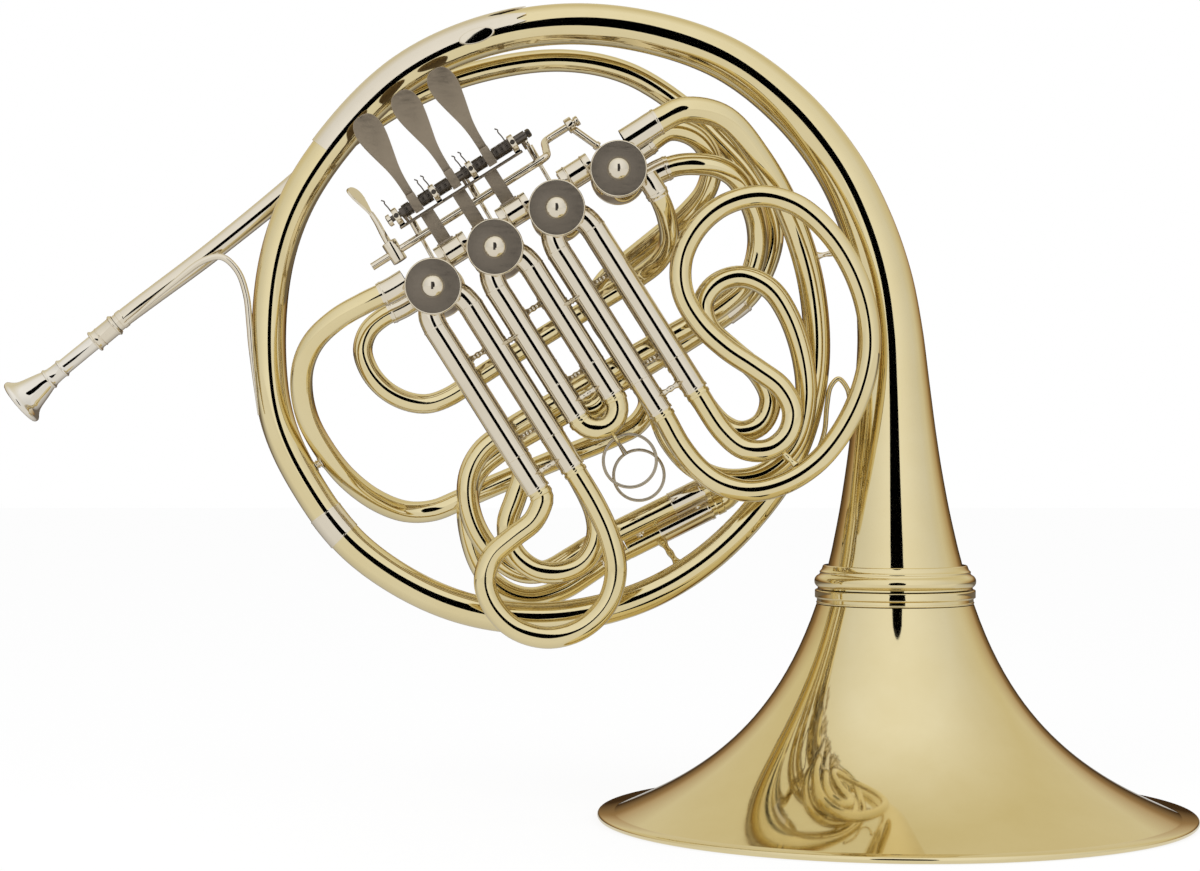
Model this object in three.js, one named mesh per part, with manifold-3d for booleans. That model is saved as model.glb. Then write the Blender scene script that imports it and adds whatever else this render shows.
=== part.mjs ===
// A full double french horn standing on its bell rim, as an assembly of its separate pieces.
// Millimetres, +Z up. Y is the depth of the coil: the valve caps face -Y. The origin is under the
// middle of the horn, on the plane that the bell rim stands on, and the main ring lies in y = 0.
import * as THREE from "three";
import { mergeVertices } from "three/addons/utils/BufferGeometryUtils.js";
import Module from "manifold-3d";

const wasm = await Module();
wasm.setup();

// ---------------------------------------------------------------- driving dimensions
const GAP = 0.3; // left between pieces that touch
const WALL = 0.6; // thickness of the tube walls

// Bell
const BELL_X = 153.4; // the bell's axis stands here
const RIM_RADIUS = 155;
const RIM_BEAD = 1.7; // radius of the wire rolled into the rim
const FLARE_TOP = 111; // height where the flare meets its screw ring
const TAIL_FOOT = 129; // height where the tail starts
const SCREW_RADIUS = 37.6; // outside of the flare's screw neck
const SCREW_RING_RADIUS = SCREW_RADIUS + 4.3;

// Valves
const DECK_ANGLE = THREE.MathUtils.degToRad(32.3); // the row of valves climbs at this angle
const DECK_X = -84.4; // axis of the first valve
const DECK_Z = 274;
const VALVE_PITCH = 37;
const CASING_RADIUS = 14;
const CASING_WALL = 1.7;
const CASING_FRONT = -38;
const CASING_BACK = 10;
const ROTOR_CLEARANCE = 0.3;
const SPINDLE_RADIUS = 2.6;
const STOP_ARM_RADIUS = 8.4; // spindle axis to the link's pin
const STOP_ARM_THICKNESS = 2.5;
const CAP_THICKNESS = 3.7;
const CAP_DOME_RADIUS = 6;
const PORT_RADIUS = 4.7; // bore of the windways through the valves
const PORT_OFFSET = 10.5; // windway axis to valve axis

// Slides: F on the front layer, B flat behind it
const F_LAYER = -30;
const FLAT_LAYER = -15;
const LEG_OFFSET = 10.5; // leg axis to valve axis
const LEG_RADIUS = 6.3;
const LEG_BORE = 5.95;
const SLIDE_RADIUS = 5.65;
const SLIDE_WALL = 0.5;
const LEG_TOP = -6;
const ENGAGEMENT = 62; // length of slide leg inside its outer leg

// Main tuning slide
const MAIN_X = 11;
const MAIN_Y = 13.4;
const MAIN_Z = 149;
const MAIN_ANGLE = THREE.MathUtils.degToRad(26.3);
const MAIN_LEG = 48;
const MAIN_DROP = -10.7; // lower leg below the upper one
const MAIN_DEPTH = 12; // lower leg behind the upper one
const MAIN_REACH = 7; // slide tube showing past the outer legs

// Branch tubes
const BRANCH_RADIUS = 5.75;
const SMALL_BRANCH_RADIUS = 5.1;

// Lever work, in the valve deck's own frame
const AXLE_Y = -20;
const AXLE_Z = 41.8;
const AXLE_RADIUS = 1.6;
const HUB_RADIUS = 2.6;
const TAIL_LENGTH = 38.5; // axle to link pin
const PADDLE_LENGTH = 53;
const PADDLE_WIDTH = 15;
const PADDLE_THICKNESS = 1.6;
const PADDLE_TILT = THREE.MathUtils.degToRad(12.8); // towards the player's fingers
const BEARING_WIDTH = 3;
const BEARINGS = [3.1, 25.7, 48.1, 73.3];
const FINGER_LEVERS = [
  { paddle: 14.6, tail: 5.9, hub: [5.5, 23.9], spring: [17.4, 23.6] },
  { paddle: 37.4, tail: 42, hub: [27.5, 46.3], spring: [28, 34.6] },
  { paddle: 59, tail: 79, hub: [49.9, 81], spring: [61.9, 71.3] },
];
const STRAPS = [VALVE_PITCH / 2 - 1.5, VALVE_PITCH - 0.6, 1.5 * VALVE_PITCH];
const STRAP_Y = -13;
const STRAP_THICKNESS = 1.4;
const STRAP_WIDTH = 8;
const ROD_Y = -8.5;
const ROD_Z = 27.6;
const ROD_RADIUS = 2;
const CRANK_Y = 17.5;
const CRANK_Z = 37.6;
const LINK_RADIUS = 1.1;
const EYE_RADIUS = 2.6;

// Mouthpiece and its pipe
const MOUTHPIECE_RIM = 12.7;
const MOUTHPIECE_AXIS = new THREE.Vector3(0.773, 0, 0.634).normalize();
const MOUTHPIECE_AT = new THREE.Vector3(-302, 0, 215);
const RECEIVER_AT = 50.5; // distance from the mouthpiece's rim
const RECEIVER_LENGTH = 15;
const RECEIVER_BORE = 4.5;

// ---------------------------------------------------------------- materials
const metal = (color, roughness) => new THREE.MeshStandardMaterial({ color, roughness, metalness: 1 });
const brass = metal(0xd9c48a, 0.12);
const nickel = metal(0xc9c1b3, 0.15);
const satin = metal(0x8f8a82, 0.45);
const silver = metal(0xd8d4cc, 0.08);
const steel = metal(0x55504a, 0.35);

// ---------------------------------------------------------------- helpers
const horn = new THREE.Group();

function add(name, geometry, material, parent = horn) {
  const mesh = new THREE.Mesh(geometry, material);
  mesh.name = name;
  parent.add(mesh);
  return mesh;
}

// Joins a geometry's loose faces into one closed body that faces out.
function closed(geometry) {
  geometry.deleteAttribute("normal");
  geometry.deleteAttribute("uv");
  const merged = mergeVertices(geometry, 1e-3);
  const index = merged.index.array;
  const position = merged.getAttribute("position");
  const faces = [];
  for (let i = 0; i < index.length; i += 3) {
    const [a, b, c] = index.slice(i, i + 3);
    if (a !== b && b !== c && c !== a) faces.push(a, b, c);
  }
  const corners = [0, 1, 2].map(() => new THREE.Vector3());
  let volume = 0;
  for (let i = 0; i < faces.length; i += 3) {
    corners.forEach((corner, k) => corner.fromBufferAttribute(position, faces[i + k]));
    volume += corners[0].dot(corners[1].clone().cross(corners[2]));
  }
  if (volume < 0) faces.reverse();
  merged.setIndex(faces);
  return merged;
}

function solid(geometry) {
  const body = closed(geometry);
  return new wasm.Manifold(
    new wasm.Mesh({
      numProp: 3,
      vertProperties: new Float32Array(body.getAttribute("position").array),
      triVerts: new Uint32Array(body.index.array),
    }),
  );
}

function shape(manifold) {
  const mesh = manifold.getMesh();
  const geometry = new THREE.BufferGeometry();
  geometry.setAttribute("position", new THREE.BufferAttribute(mesh.vertProperties, 3));
  geometry.setIndex(new THREE.BufferAttribute(mesh.triVerts, 1));
  return geometry;
}

const join = (...pieces) => shape(pieces.map(solid).reduce((whole, piece) => whole.add(piece)));
const cut = (piece, ...tools) =>
  shape(tools.map(solid).reduce((whole, tool) => whole.subtract(tool), solid(piece)));

// A turned piece about the Y axis, from a closed profile of [radius, height].
function turned(profile, sides) {
  return closed(
    new THREE.LatheGeometry(
      profile.map(([r, y]) => new THREE.Vector2(r, y)),
      sides,
    ),
  );
}

const sleeve = (inner, outer, from, to, sides) =>
  turned([[outer, from], [outer, to], [inner, to], [inner, from], [outer, from]], sides);
const drum = (radius, from, to, sides) => turned([[0, from], [radius, from], [radius, to], [0, to]], sides);

const along = { x: (g) => g.rotateZ(-Math.PI / 2), y: (g) => g, z: (g) => g.rotateX(Math.PI / 2) };

const block = (sx, sy, sz, x, y, z) => new THREE.BoxGeometry(sx, sy, sz).translate(x, y, z);

// A straight round bar between two points.
function bar(from, to, radius, sides = 8) {
  const [a, b] = [new THREE.Vector3(...from), new THREE.Vector3(...to)];
  const turn = new THREE.Quaternion().setFromUnitVectors(new THREE.Vector3(0, 1, 0), b.clone().sub(a).normalize());
  return drum(radius, 0, a.distanceTo(b), sides)
    .applyQuaternion(turn)
    .translate(...from);
}

// A tube's centre line, measured along its length, with a frame that never twists about it.
class Route {
  constructor(curve) {
    const steps = Math.ceil(curve.getLength());
    this.points = curve.getSpacedPoints(steps);
    this.step = curve.getLength() / steps;
    this.length = curve.getLength();
    this.marks = curve.curves ? curve.getCurveLengths() : [];
    this.tangents = this.points.map((point, i) => {
      const before = this.points[Math.max(i - 1, 0)];
      const after = this.points[Math.min(i + 1, steps)];
      return after.clone().sub(before).normalize();
    });
    const across = Math.abs(this.tangents[0].y) < 0.9 ? new THREE.Vector3(0, 1, 0) : new THREE.Vector3(1, 0, 0);
    this.normals = this.tangents.map((tangent) => {
      across.addScaledVector(tangent, -across.dot(tangent)).normalize();
      return across.clone();
    });
  }

  // Distances where a tube needs a ring of vertices: its ends, its marks, and wherever it has
  // bent enough.
  stations(from, to, bend, marks = []) {
    const found = [from];
    let last = this.tangents[Math.round(from / this.step)];
    const waiting = [...this.marks, ...marks].filter((s) => s > from + 2 && s < to - 2).sort((a, b) => a - b);
    for (let i = Math.ceil(from / this.step) + 1; i * this.step < to - 2; i++) {
      const s = i * this.step;
      if (waiting.length && s >= waiting[0]) {
        const mark = waiting.shift();
        if (mark > found.at(-1) + 2) found.push(mark);
        last = this.tangents[i];
      } else if (this.tangents[i].angleTo(last) >= bend && !(waiting[0] < s + 3)) {
        found.push(s);
        last = this.tangents[i];
      }
    }
    return [...found, to];
  }

  // The distance along this line that comes nearest to a point.
  nearest(point) {
    const gaps = this.points.map((p) => p.distanceTo(point));
    return gaps.indexOf(Math.min(...gaps)) * this.step;
  }

  place(distance, outwards, sideways) {
    const i = Math.min(Math.floor(distance / this.step), this.points.length - 2);
    const part = distance / this.step - i;
    const normal = this.normals[i].clone().lerp(this.normals[i + 1], part).normalize();
    const tangent = this.tangents[i].clone().lerp(this.tangents[i + 1], part).normalize();
    return this.points[i]
      .clone()
      .lerp(this.points[i + 1], part)
      .addScaledVector(normal, outwards)
      .addScaledVector(tangent.cross(normal), sideways);
  }

  // Bends a piece that stands along the Y axis, with y as the distance, onto this line.
  bend(geometry) {
    const position = geometry.getAttribute("position");
    for (let i = 0; i < position.count; i++) {
      const at = this.place(position.getY(i), position.getX(i), position.getZ(i));
      position.setXYZ(i, at.x, at.y, at.z);
    }
    return closed(geometry);
  }
}

const smooth = (points) =>
  new THREE.CatmullRomCurve3(
    points.map((p) => new THREE.Vector3(...p)),
    false,
    "centripetal",
  );

const BEND = THREE.MathUtils.degToRad(24); // most that a tube turns between two rings

// ---------------------------------------------------------------- the row of valves
const deck = new THREE.Group();
deck.position.set(DECK_X, 0, DECK_Z);
deck.rotation.y = -DECK_ANGLE;
horn.add(deck);

const valveAt = (k) => new THREE.Vector3(k * VALVE_PITCH, 0, 0).applyEuler(deck.rotation).add(deck.position);
const changeValve = valveAt(3);

// A point on a branch tube near the change valve, from that valve's axis.
const near = (x, y, z) => [changeValve.x + x, y, changeValve.z + z];

// A tube on a route. Its radius is a number or a function of the distance, its wall goes inwards,
// and it is a solid rod where the wall is null.
function tube(route, radius, { wall = WALL, from = 0, to = route.length, sides = 8, bend = BEND, marks = [] } = {}) {
  const size = typeof radius === "number" ? () => radius : radius;
  const rings = route.stations(from, to, bend, [...marks, ...(radius.marks ?? [])]);
  const outside = rings.map((s) => new THREE.Vector2(size(s), s));
  const inside = wall === null ? [new THREE.Vector2(0, to)] : rings.map((s) => new THREE.Vector2(size(s) - wall, s)).reverse();
  const start = wall === null ? [new THREE.Vector2(0, from)] : [];
  const end = wall === null ? [] : [outside[0].clone()];
  return route.bend(new THREE.LatheGeometry([...start, ...outside, ...inside, ...end], sides));
}

// Straight-line interpolation in a list of [distance, value].
function ramp(table) {
  const value = (s) => {
    const found = table.findIndex(([distance], i) => i > 0 && s <= distance);
    const k = found < 0 ? table.length - 1 : found;
    const [[s0, v0], [s1, v1]] = [table[k - 1], table[k]];
    return THREE.MathUtils.mapLinear(THREE.MathUtils.clamp(s, s0, s1), s0, s1, v0, v1);
  };
  value.marks = table.map(([distance]) => distance).filter((distance) => distance < 250);
  return value;
}

// ---------------------------------------------------------------- bell
const flareRadius = (height) => RIM_RADIUS * (93 / (93 + height)) ** 1.7;

function bellFlare() {
  const heights = [4, 8, 13, 19, 27, 37, 50, 66, 86, FLARE_TOP];
  const skin = heights.map((h) => [flareRadius(h), h]);
  const lining = heights.map((h) => [flareRadius(h) - WALL * 1.4, h - WALL * 0.4]).reverse();
  const neckFoot = [SCREW_RADIUS - WALL, FLARE_TOP + 1];
  const neck = [[SCREW_RADIUS, FLARE_TOP + 0.5], [SCREW_RADIUS, 125], [SCREW_RADIUS - WALL, 125], neckFoot];
  const rim = [[RIM_RADIUS - 2.6, 0], [RIM_RADIUS - 0.8, 0], [RIM_RADIUS, 1.2], [RIM_RADIUS - 0.9, 3]];
  const inner = [...lining, [RIM_RADIUS - 3.6, 1.2]];
  return turned([...rim, ...skin, ...neck, ...inner, rim[0]], 24);
}

function bell() {
  const group = new THREE.Group();
  group.position.x = BELL_X;
  group.rotation.x = Math.PI / 2;
  horn.add(group);
  const bore = SCREW_RADIUS + 2 * GAP;
  add("bell_flare", bellFlare(), brass, group);
  const lower = [
    [SCREW_RING_RADIUS - 1.2, FLARE_TOP + GAP],
    [SCREW_RING_RADIUS, FLARE_TOP + 2],
    [SCREW_RING_RADIUS, FLARE_TOP + 6.5],
    [SCREW_RING_RADIUS - 1, FLARE_TOP + 7.7],
    [SCREW_RADIUS + GAP, FLARE_TOP + 7.7],
    [SCREW_RADIUS + GAP, FLARE_TOP + GAP + 0.5],
  ];
  add("bell_ring_lower", turned([...lower, lower[0]], 24), brass, group);
  const upper = [
    [SCREW_RING_RADIUS - 1, FLARE_TOP + 8.1],
    [SCREW_RING_RADIUS, FLARE_TOP + 9.3],
    [SCREW_RING_RADIUS, TAIL_FOOT - 3],
    [SCREW_RING_RADIUS - 2, TAIL_FOOT],
    [36.6, TAIL_FOOT + 2.2],
    [tailRadius(0) + 2 * GAP, TAIL_FOOT + 2.2],
    [tailRadius(0) + 2 * GAP, TAIL_FOOT - 2],
    [bore, TAIL_FOOT - 3],
    [bore, FLARE_TOP + 8.1],
  ];
  add("bell_ring_upper", turned([...upper, upper[0]], 24), brass, group);
}

// The tube that runs from the bell's screw ring up, over the top, round the ring and into the
// change valve.
const bellBranch = new Route(
  smooth([
    [BELL_X, 0, TAIL_FOOT],
    [152.8, 0, 170],
    [152, 0, 222],
    [150.8, 0, 252],
    [146.9, 0, 280],
    [137.8, 0, 310],
    [123.4, 0, 339],
    [99.1, 0, 369],
    [66, 0, 394],
    [24, 0, 409],
    [-20, 0, 413],
    [-63.6, 0, 405],
    [-102.1, 0, 386],
    [-136, 0, 353],
    [-160, 0, 315],
    [-171, 0, 272],
    [-168.6, 0, 210],
    [-150.5, 0, 170],
    [-124.5, 0, 138],
    [-80.5, 0, 112],
    [-35, 0, 103.5],
    [13.5, 0, 111.5],
    [49, 0, 129.5],
    [79, 0, 157],
    [101, 0, 190],
    [112, 0, 232],
    [110, 0, 276],
    [98, -4, 314],
    [82, -14, 341],
    [63, -24, 361],
    near(33.6, -28, 31.2),
    near(21.1, -28, 25.7),
    near(11.3, -28, 19.6),
    near(1.2, -28, 13.2),
  ]),
);
const tailRadius = ramp([
  [0, 35.3],
  [20, 30.3],
  [41, 26.5],
  [66, 22.6],
  [93, 19.6],
  [123, 16.8],
  [153, 15.2],
  [185, 13.8],
  [218, 12.8],
  [290, 11.5],
  [380, 10.6],
  [480, 9.8],
  [600, 9],
  [760, 8.7],
  [900, 8.1],
  [1040, 7.2],
  [1150, 6.8],
  [1300, 6.5],
]);
const FERRULE_FROM = 729;
const FERRULE_TO = 745;

const marks = [FERRULE_FROM, FERRULE_TO];
const ringOptions = { wall: null, sides: 12, marks: [...marks, ...tailRadius.marks] };

function ringTubes() {
  const seam = (FERRULE_FROM + FERRULE_TO) / 2;
  add("bell_tail", tube(bellBranch, tailRadius, { to: seam - GAP / 2, sides: 12, marks }), brass);
  const ferrule = { from: FERRULE_FROM, to: FERRULE_TO, sides: 12, wall: 0.5 };
  add("tail_ferrule", tube(bellBranch, (s) => tailRadius(s) + 0.5 + 2 * GAP, ferrule), nickel);
  const branch = tube(bellBranch, tailRadius, { from: seam + GAP / 2, sides: 12, marks });
  add("bell_branch", clearOfValve(branch, 3), brass);
}

// A thin sheet wrapped on the ring's outer face where the hand holds it, ending in two points.
function guardPlate() {
  const [from, to, steps, turns] = [388, 528, 10, 6];
  const plate = new THREE.BoxGeometry(1, to - from, 1, turns, steps, 1).translate(0.5, (from + to) / 2, 0.5);
  const position = plate.getAttribute("position");
  for (let i = 0; i < position.count; i++) {
    const s = position.getY(i);
    const across = position.getX(i);
    const widen = THREE.MathUtils.clamp((s - from) / 60, 0.25, 1);
    const angle = THREE.MathUtils.degToRad(-128 + 52 * widen * (2 * across - 1));
    const radius = tailRadius(s) + GAP + 0.3 + 0.5 * position.getZ(i);
    position.setXYZ(i, radius * Math.cos(angle), s, radius * Math.sin(angle));
  }
  return bellBranch.bend(plate);
}

// ---------------------------------------------------------------- mouthpiece and leadpipe
const onAxis = (distance) => MOUTHPIECE_AT.clone().addScaledVector(MOUTHPIECE_AXIS, distance).toArray();

const leadpipe = new Route(
  smooth([
    onAxis(RECEIVER_AT + RECEIVER_LENGTH + GAP),
    onAxis(RECEIVER_AT + RECEIVER_LENGTH + 6),
    [-233, 2, 271],
    [-204.5, 6, 293],
    [-157.5, 13, 332.5],
    [-136.5, 16, 352],
    [-105, 17.5, 373.5],
    [-66, 18, 389.5],
    [-21, 18, 396],
    [14, 18, 389.5],
    [44, 18, 371],
    [62, 20, 354],
    [77, 22, 338],
    [88, 24.5, 320],
    [91.5, 24.5, 305],
    [88, 24.5, 289],
    [79, 24.5, 273],
    [65, 24.5, 261.5],
    [27, 24.5, 237],
    [-21, 24.5, 209],
    [-53, 24.5, 190],
    [-65, 24.5, 179],
    [-70, 24.5, 163],
    [-68, 24.5, 143],
    [-61, 24.5, 126],
    [-50, 24.5, 116],
    [-36, 24.5, 112.5],
    [-20, 24.5, 117],
    [-5.5, 24.5, 126],
    [4, 25.3, 132.6],
    [14.3, 25.4, 138.6],
  ]),
);
const NICKEL_END = 155; // the leadpipe turns from nickel silver to brass here
const leadRadius = ramp([[0, 4.6], [60, 5.2], [NICKEL_END, 6], [340, 5.9], [470, BRANCH_RADIUS]]);

function mouthpiece() {
  const cup = [
    [2.4, 64], [2.3, 22], [3.4, 17.5], [5.5, 11], [8.2, 3.5], [9.4, 0.6], [10, 0],
  ];
  const outside = [
    [11.9, 0], [MOUTHPIECE_RIM, 1], [MOUTHPIECE_RIM, 2.4], [11.7, 3.6], [8.8, 7], [7.2, 12], [5.4, 19],
    [4.6, 25], [4.8, 28.6], [4.1, 30], [4.05, 50], [3.75, 64],
  ];
  const turn = new THREE.Quaternion().setFromUnitVectors(new THREE.Vector3(0, 1, 0), MOUTHPIECE_AXIS);
  const body = add("mouthpiece", turned([...outside, ...cup, outside[0]], 16), silver);
  body.quaternion.copy(turn);
  body.position.copy(MOUTHPIECE_AT);
  const [start, end] = [RECEIVER_AT, RECEIVER_AT + RECEIVER_LENGTH];
  const socket = [
    [5.9, start], [5.9, start + 1.4], [5.2, start + 2.4], [5.2, end], [RECEIVER_BORE, end], [RECEIVER_BORE, start], [5.9, start],
  ];
  const receiver = add("receiver", turned(socket, 12), nickel);
  receiver.quaternion.copy(turn);
  receiver.position.copy(MOUTHPIECE_AT);
}

function leadTubes() {
  add("leadpipe", tube(leadpipe, leadRadius, { to: NICKEL_END - GAP / 2 }), nickel);
  add("leadpipe_branch", tube(leadpipe, leadRadius, { from: NICKEL_END + GAP / 2 }), brass);
  const stay = new Route(
    smooth([
      [-246, -5.2, 256], [-222, -4, 277], [-205, -4, 289.5], [-196, -4, 291], [-188, -4.4, 284], [-183.5, -4.6, 272],
      [-181.4, -6, 256], [-179.8, -7.6, 238], [-176.5, -8.6, 209],
    ]),
  );
  add("leadpipe_stay", tube(stay, 1.7, { wall: null, sides: 6 }), nickel);
}

// ---------------------------------------------------------------- valves
// Shapes a tube's end to the valve casing that it is soldered to.
function clearOfValve(geometry, k) {
  const at = valveAt(k);
  return cut(geometry, drum(CASING_RADIUS + GAP, CASING_FRONT - 5, CASING_BACK + 5, 24).translate(at.x, 0, at.z));
}

function casing(k) {
  const bore = CASING_RADIUS - CASING_WALL;
  const shell = turned(
    [
      [CASING_RADIUS, CASING_FRONT], [CASING_RADIUS, CASING_BACK], [SPINDLE_RADIUS + GAP, CASING_BACK],
      [SPINDLE_RADIUS + GAP, CASING_BACK - 2], [bore, CASING_BACK - 2], [bore, CASING_FRONT], [CASING_RADIUS, CASING_FRONT],
    ],
    24,
  );
  const reach = VALVE_PITCH - Math.sqrt(CASING_RADIUS ** 2 - PORT_OFFSET ** 2) - 3 * GAP;
  const layers = [F_LAYER, FLAT_LAYER];
  let whole = solid(shell);
  const portDrum = (radius, from, to, y) => along.x(drum(radius, from, to, 8)).translate(0, y, PORT_OFFSET);
  // Windways to the next valve, then the bores through them and down into the slide legs
  if (k < 3) {
    for (const y of layers) whole = whole.add(solid(portDrum(PORT_RADIUS + 1.2, 4, reach, y)));
    const next = drum(CASING_RADIUS + GAP, CASING_FRONT - 1, CASING_BACK + 1, 24).translate(VALVE_PITCH, 0, 0);
    whole = whole.subtract(solid(next));
    whole = whole.subtract(solid(drum(bore, CASING_FRONT, CASING_BACK - 2, 24)));
  }
  for (const y of layers) {
    whole = whole.subtract(solid(portDrum(PORT_RADIUS, k === 0 && y === FLAT_LAYER ? 0 : -VALVE_PITCH / 2, VALVE_PITCH, y)));
    if (k === 3) continue;
    for (const side of [-1, 1]) {
      const leg = along.z(drum(PORT_RADIUS, 0, CASING_RADIUS + 2, 8)).rotateX(Math.PI).translate(side * (LEG_OFFSET - 2.5), y, 0);
      whole = whole.subtract(solid(leg));
    }
  }
  return shape(whole);
}

function rotor() {
  const radius = CASING_RADIUS - CASING_WALL - ROTOR_CLEARANCE;
  const armFrom = CASING_BACK + 1.5;
  const armTo = armFrom + STOP_ARM_THICKNESS;
  const plug = turned(
    [
      [0, CASING_FRONT + 2], [radius, CASING_FRONT + 2], [radius, CASING_BACK - 2.5], [SPINDLE_RADIUS, CASING_BACK - 2.5],
      [SPINDLE_RADIUS, armTo], [0, armTo],
    ],
    24,
  );
  const windways = [F_LAYER, FLAT_LAYER].flatMap((y) =>
    [-1, 1].map((side) => along.x(drum(PORT_RADIUS, -radius - 1, radius + 1, 8)).translate(0, y, side * (LEG_OFFSET - 1.5))),
  );
  const middle = (armFrom + armTo) / 2;
  const arm = block(4, STOP_ARM_THICKNESS, STOP_ARM_RADIUS, 0, middle, STOP_ARM_RADIUS / 2).rotateY(Math.PI / 4);
  const reach = STOP_ARM_RADIUS * Math.SQRT1_2;
  const end = drum(EYE_RADIUS, armFrom, armTo, 8).translate(reach, 0, reach);
  const pin = drum(1.2, armTo - 0.1, armTo + 1.2, 6).translate(reach, 0, reach);
  return join(cut(plug, ...windways), arm, end, pin);
}

function cap() {
  const back = CASING_FRONT - GAP;
  const front = back - CAP_THICKNESS;
  const edge = CASING_RADIUS + 0.4;
  const dome = [
    [0, front - 3.2], [3, front - 2.8], [5, front - 1.6], [CAP_DOME_RADIUS, front],
  ];
  return turned([...dome, [edge - 0.8, front], [edge, front + 0.8], [edge, back - 0.6], [edge - 0.6, back], [0, back]], 24);
}

function valves() {
  for (let k = 0; k < 4; k++) {
    const valve = new THREE.Group();
    valve.position.x = k * VALVE_PITCH;
    deck.add(valve);
    add(`valve_casing_${k + 1}`, casing(k), nickel, valve);
    add(`valve_rotor_${k + 1}`, rotor(), brass, valve);
    add(`valve_cap_${k + 1}`, cap(), satin, valve);
  }
}

// ---------------------------------------------------------------- valve slides
// Each crook is drawn in its own valve's frame, x along the row and z away from the slides. It
// leaves the left leg's end, ends at the right leg's, and a plain U bend has no points.
const SLIDES = [
  {
    name: "f_slide_1", valve: 0, y: F_LAYER, end: -116,
    crook: [
      [-12.2, -122], [-21, -127.5], [-34, -129], [-48, -131.5], [-58, -140], [-61.5, -153], [-58, -169],
      [-46, -182], [-29, -187], [-11.5, -183], [1, -171.5], [7.5, -155], [10, -138],
    ],
  },
  { name: "f_slide_2", valve: 1, y: F_LAYER, end: -95.5, crook: [] },
  {
    name: "f_slide_3", valve: 2, y: F_LAYER, end: -116,
    crook: [
      [-11.3, -135], [-9.5, -150], [-4, -163], [7, -174], [23, -179.5], [42, -179.5], [61, -173.5], [80, -162],
      [96, -146], [106, -127], [111, -105], [110.5, -83], [104, -63], [91, -49.5], [73, -43.5], [55, -46],
      [40, -55.5], [31.5, -70], [30.5, -88], [35, -106], [42.5, -123], [48, -138], [46.5, -151], [38, -159.5],
      [26, -161], [15.5, -154], [11, -141],
    ],
    tie: [[31, -165], [33, -174.5]],
  },
  {
    name: "flat_slide_1", valve: 0, y: FLAT_LAYER, end: -96,
    crook: [
      [-13.5, -105], [-23, -113], [-33.5, -122], [-38.5, -135], [-34.5, -149], [-24, -157.5], [-11, -159.5],
      [1, -153], [8, -140],
    ],
  },
  { name: "flat_slide_2", valve: 1, y: FLAT_LAYER, end: -84, crook: [] },
  {
    name: "flat_slide_3", valve: 2, y: FLAT_LAYER, end: -98,
    crook: [
      [-11.5, -114], [-14, -130], [-11, -148], [-1, -162], [17, -170.5], [38, -167], [55, -152], [66, -132],
      [72, -108], [71, -91], [62, -78.5], [49, -75], [38, -80], [34, -92], [38, -108], [43, -126], [41, -140],
      [31, -148], [20, -146.5], [13, -137],
    ],
  },
];

function slideRoute({ y, end, crook }) {
  const top = end + ENGAGEMENT;
  const [left, right] = [-LEG_OFFSET, LEG_OFFSET].map((x) => [x, y, end]);
  const path = new THREE.CurvePath();
  const point = (x, z) => new THREE.Vector3(x, y, z);
  path.add(new THREE.LineCurve3(point(-LEG_OFFSET, top), point(...[left[0], end])));
  if (crook.length) {
    const lead = 4;
    const bend = [left, [left[0], y, end - lead], ...crook.map(([x, z]) => [x, y, z]), [right[0], y, end - lead], right];
    path.add(smooth(bend));
  } else {
    const middle = end - 1;
    path.add(new THREE.LineCurve3(point(-LEG_OFFSET, end), point(-LEG_OFFSET, middle)));
    const turns = [...Array(13).keys()].map((i) => Math.PI + (Math.PI * i) / 12);
    path.add(smooth(turns.map((a) => [LEG_OFFSET * Math.cos(a), y, middle + LEG_OFFSET * Math.sin(a)])));
    path.add(new THREE.LineCurve3(point(LEG_OFFSET, middle), point(LEG_OFFSET, end)));
  }
  path.add(new THREE.LineCurve3(point(LEG_OFFSET, end), point(LEG_OFFSET, top)));
  return new Route(path);
}

const STEM = 21.5; // ring 2 hangs on a stem
const RING_WIRE = 0.9;
const LUG_RADIUS = 2.3;

// A small eye at the end of a U bend, which the pull ring goes through.
const lug = (y, z) => new THREE.TorusGeometry(LUG_RADIUS, 0.8, 6, 10).rotateY(Math.PI / 2).translate(0, y, z);

function slides() {
  for (const slide of SLIDES) {
    const group = new THREE.Group();
    group.position.x = slide.valve * VALVE_PITCH;
    deck.add(group);
    let crook = tube(slideRoute(slide), SLIDE_RADIUS, { wall: SLIDE_WALL });
    const apex = slide.end - 1 - LEG_OFFSET - SLIDE_RADIUS;
    if (!slide.crook.length) crook = join(crook, lug(slide.y, apex - LUG_RADIUS + 0.6));
    if (slide.tie) {
      const [from, to] = slide.tie.map(([x, z]) => [x, slide.y, z]);
      crook = join(crook, bar(from, to, 1.6, 6));
    }
    add(slide.name, crook, brass, group);
    add(slide.name.replace("slide", "legs"), legPair(slide), nickel, group);
    if (!slide.crook.length) pullRing(slide, apex, group);
  }
}

// The two outer legs of a slide, joined by their stays and shaped to the casing.
function legPair({ y, end }) {
  const stay = (z) => along.x(drum(1.6, -LEG_OFFSET + LEG_BORE + 0.2, LEG_OFFSET - LEG_BORE - 0.2, 6)).translate(0, y, z);
  const foot = (z) => block(2 * (LEG_OFFSET - LEG_BORE - 0.15), 3, 7, 0, y, z);
  const leg = (x) => along.z(sleeve(LEG_BORE, LEG_RADIUS, -LEG_TOP, -end - GAP, 8)).rotateX(Math.PI).rotateZ(Math.PI / 2).translate(x, y, 0);
  const casingCut = drum(CASING_RADIUS + GAP, CASING_FRONT - 5, CASING_BACK + 5, 24);
  return cut(join(leg(-LEG_OFFSET), leg(LEG_OFFSET), stay(end * 0.42), foot(end + 12)), casingCut);
}

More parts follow.
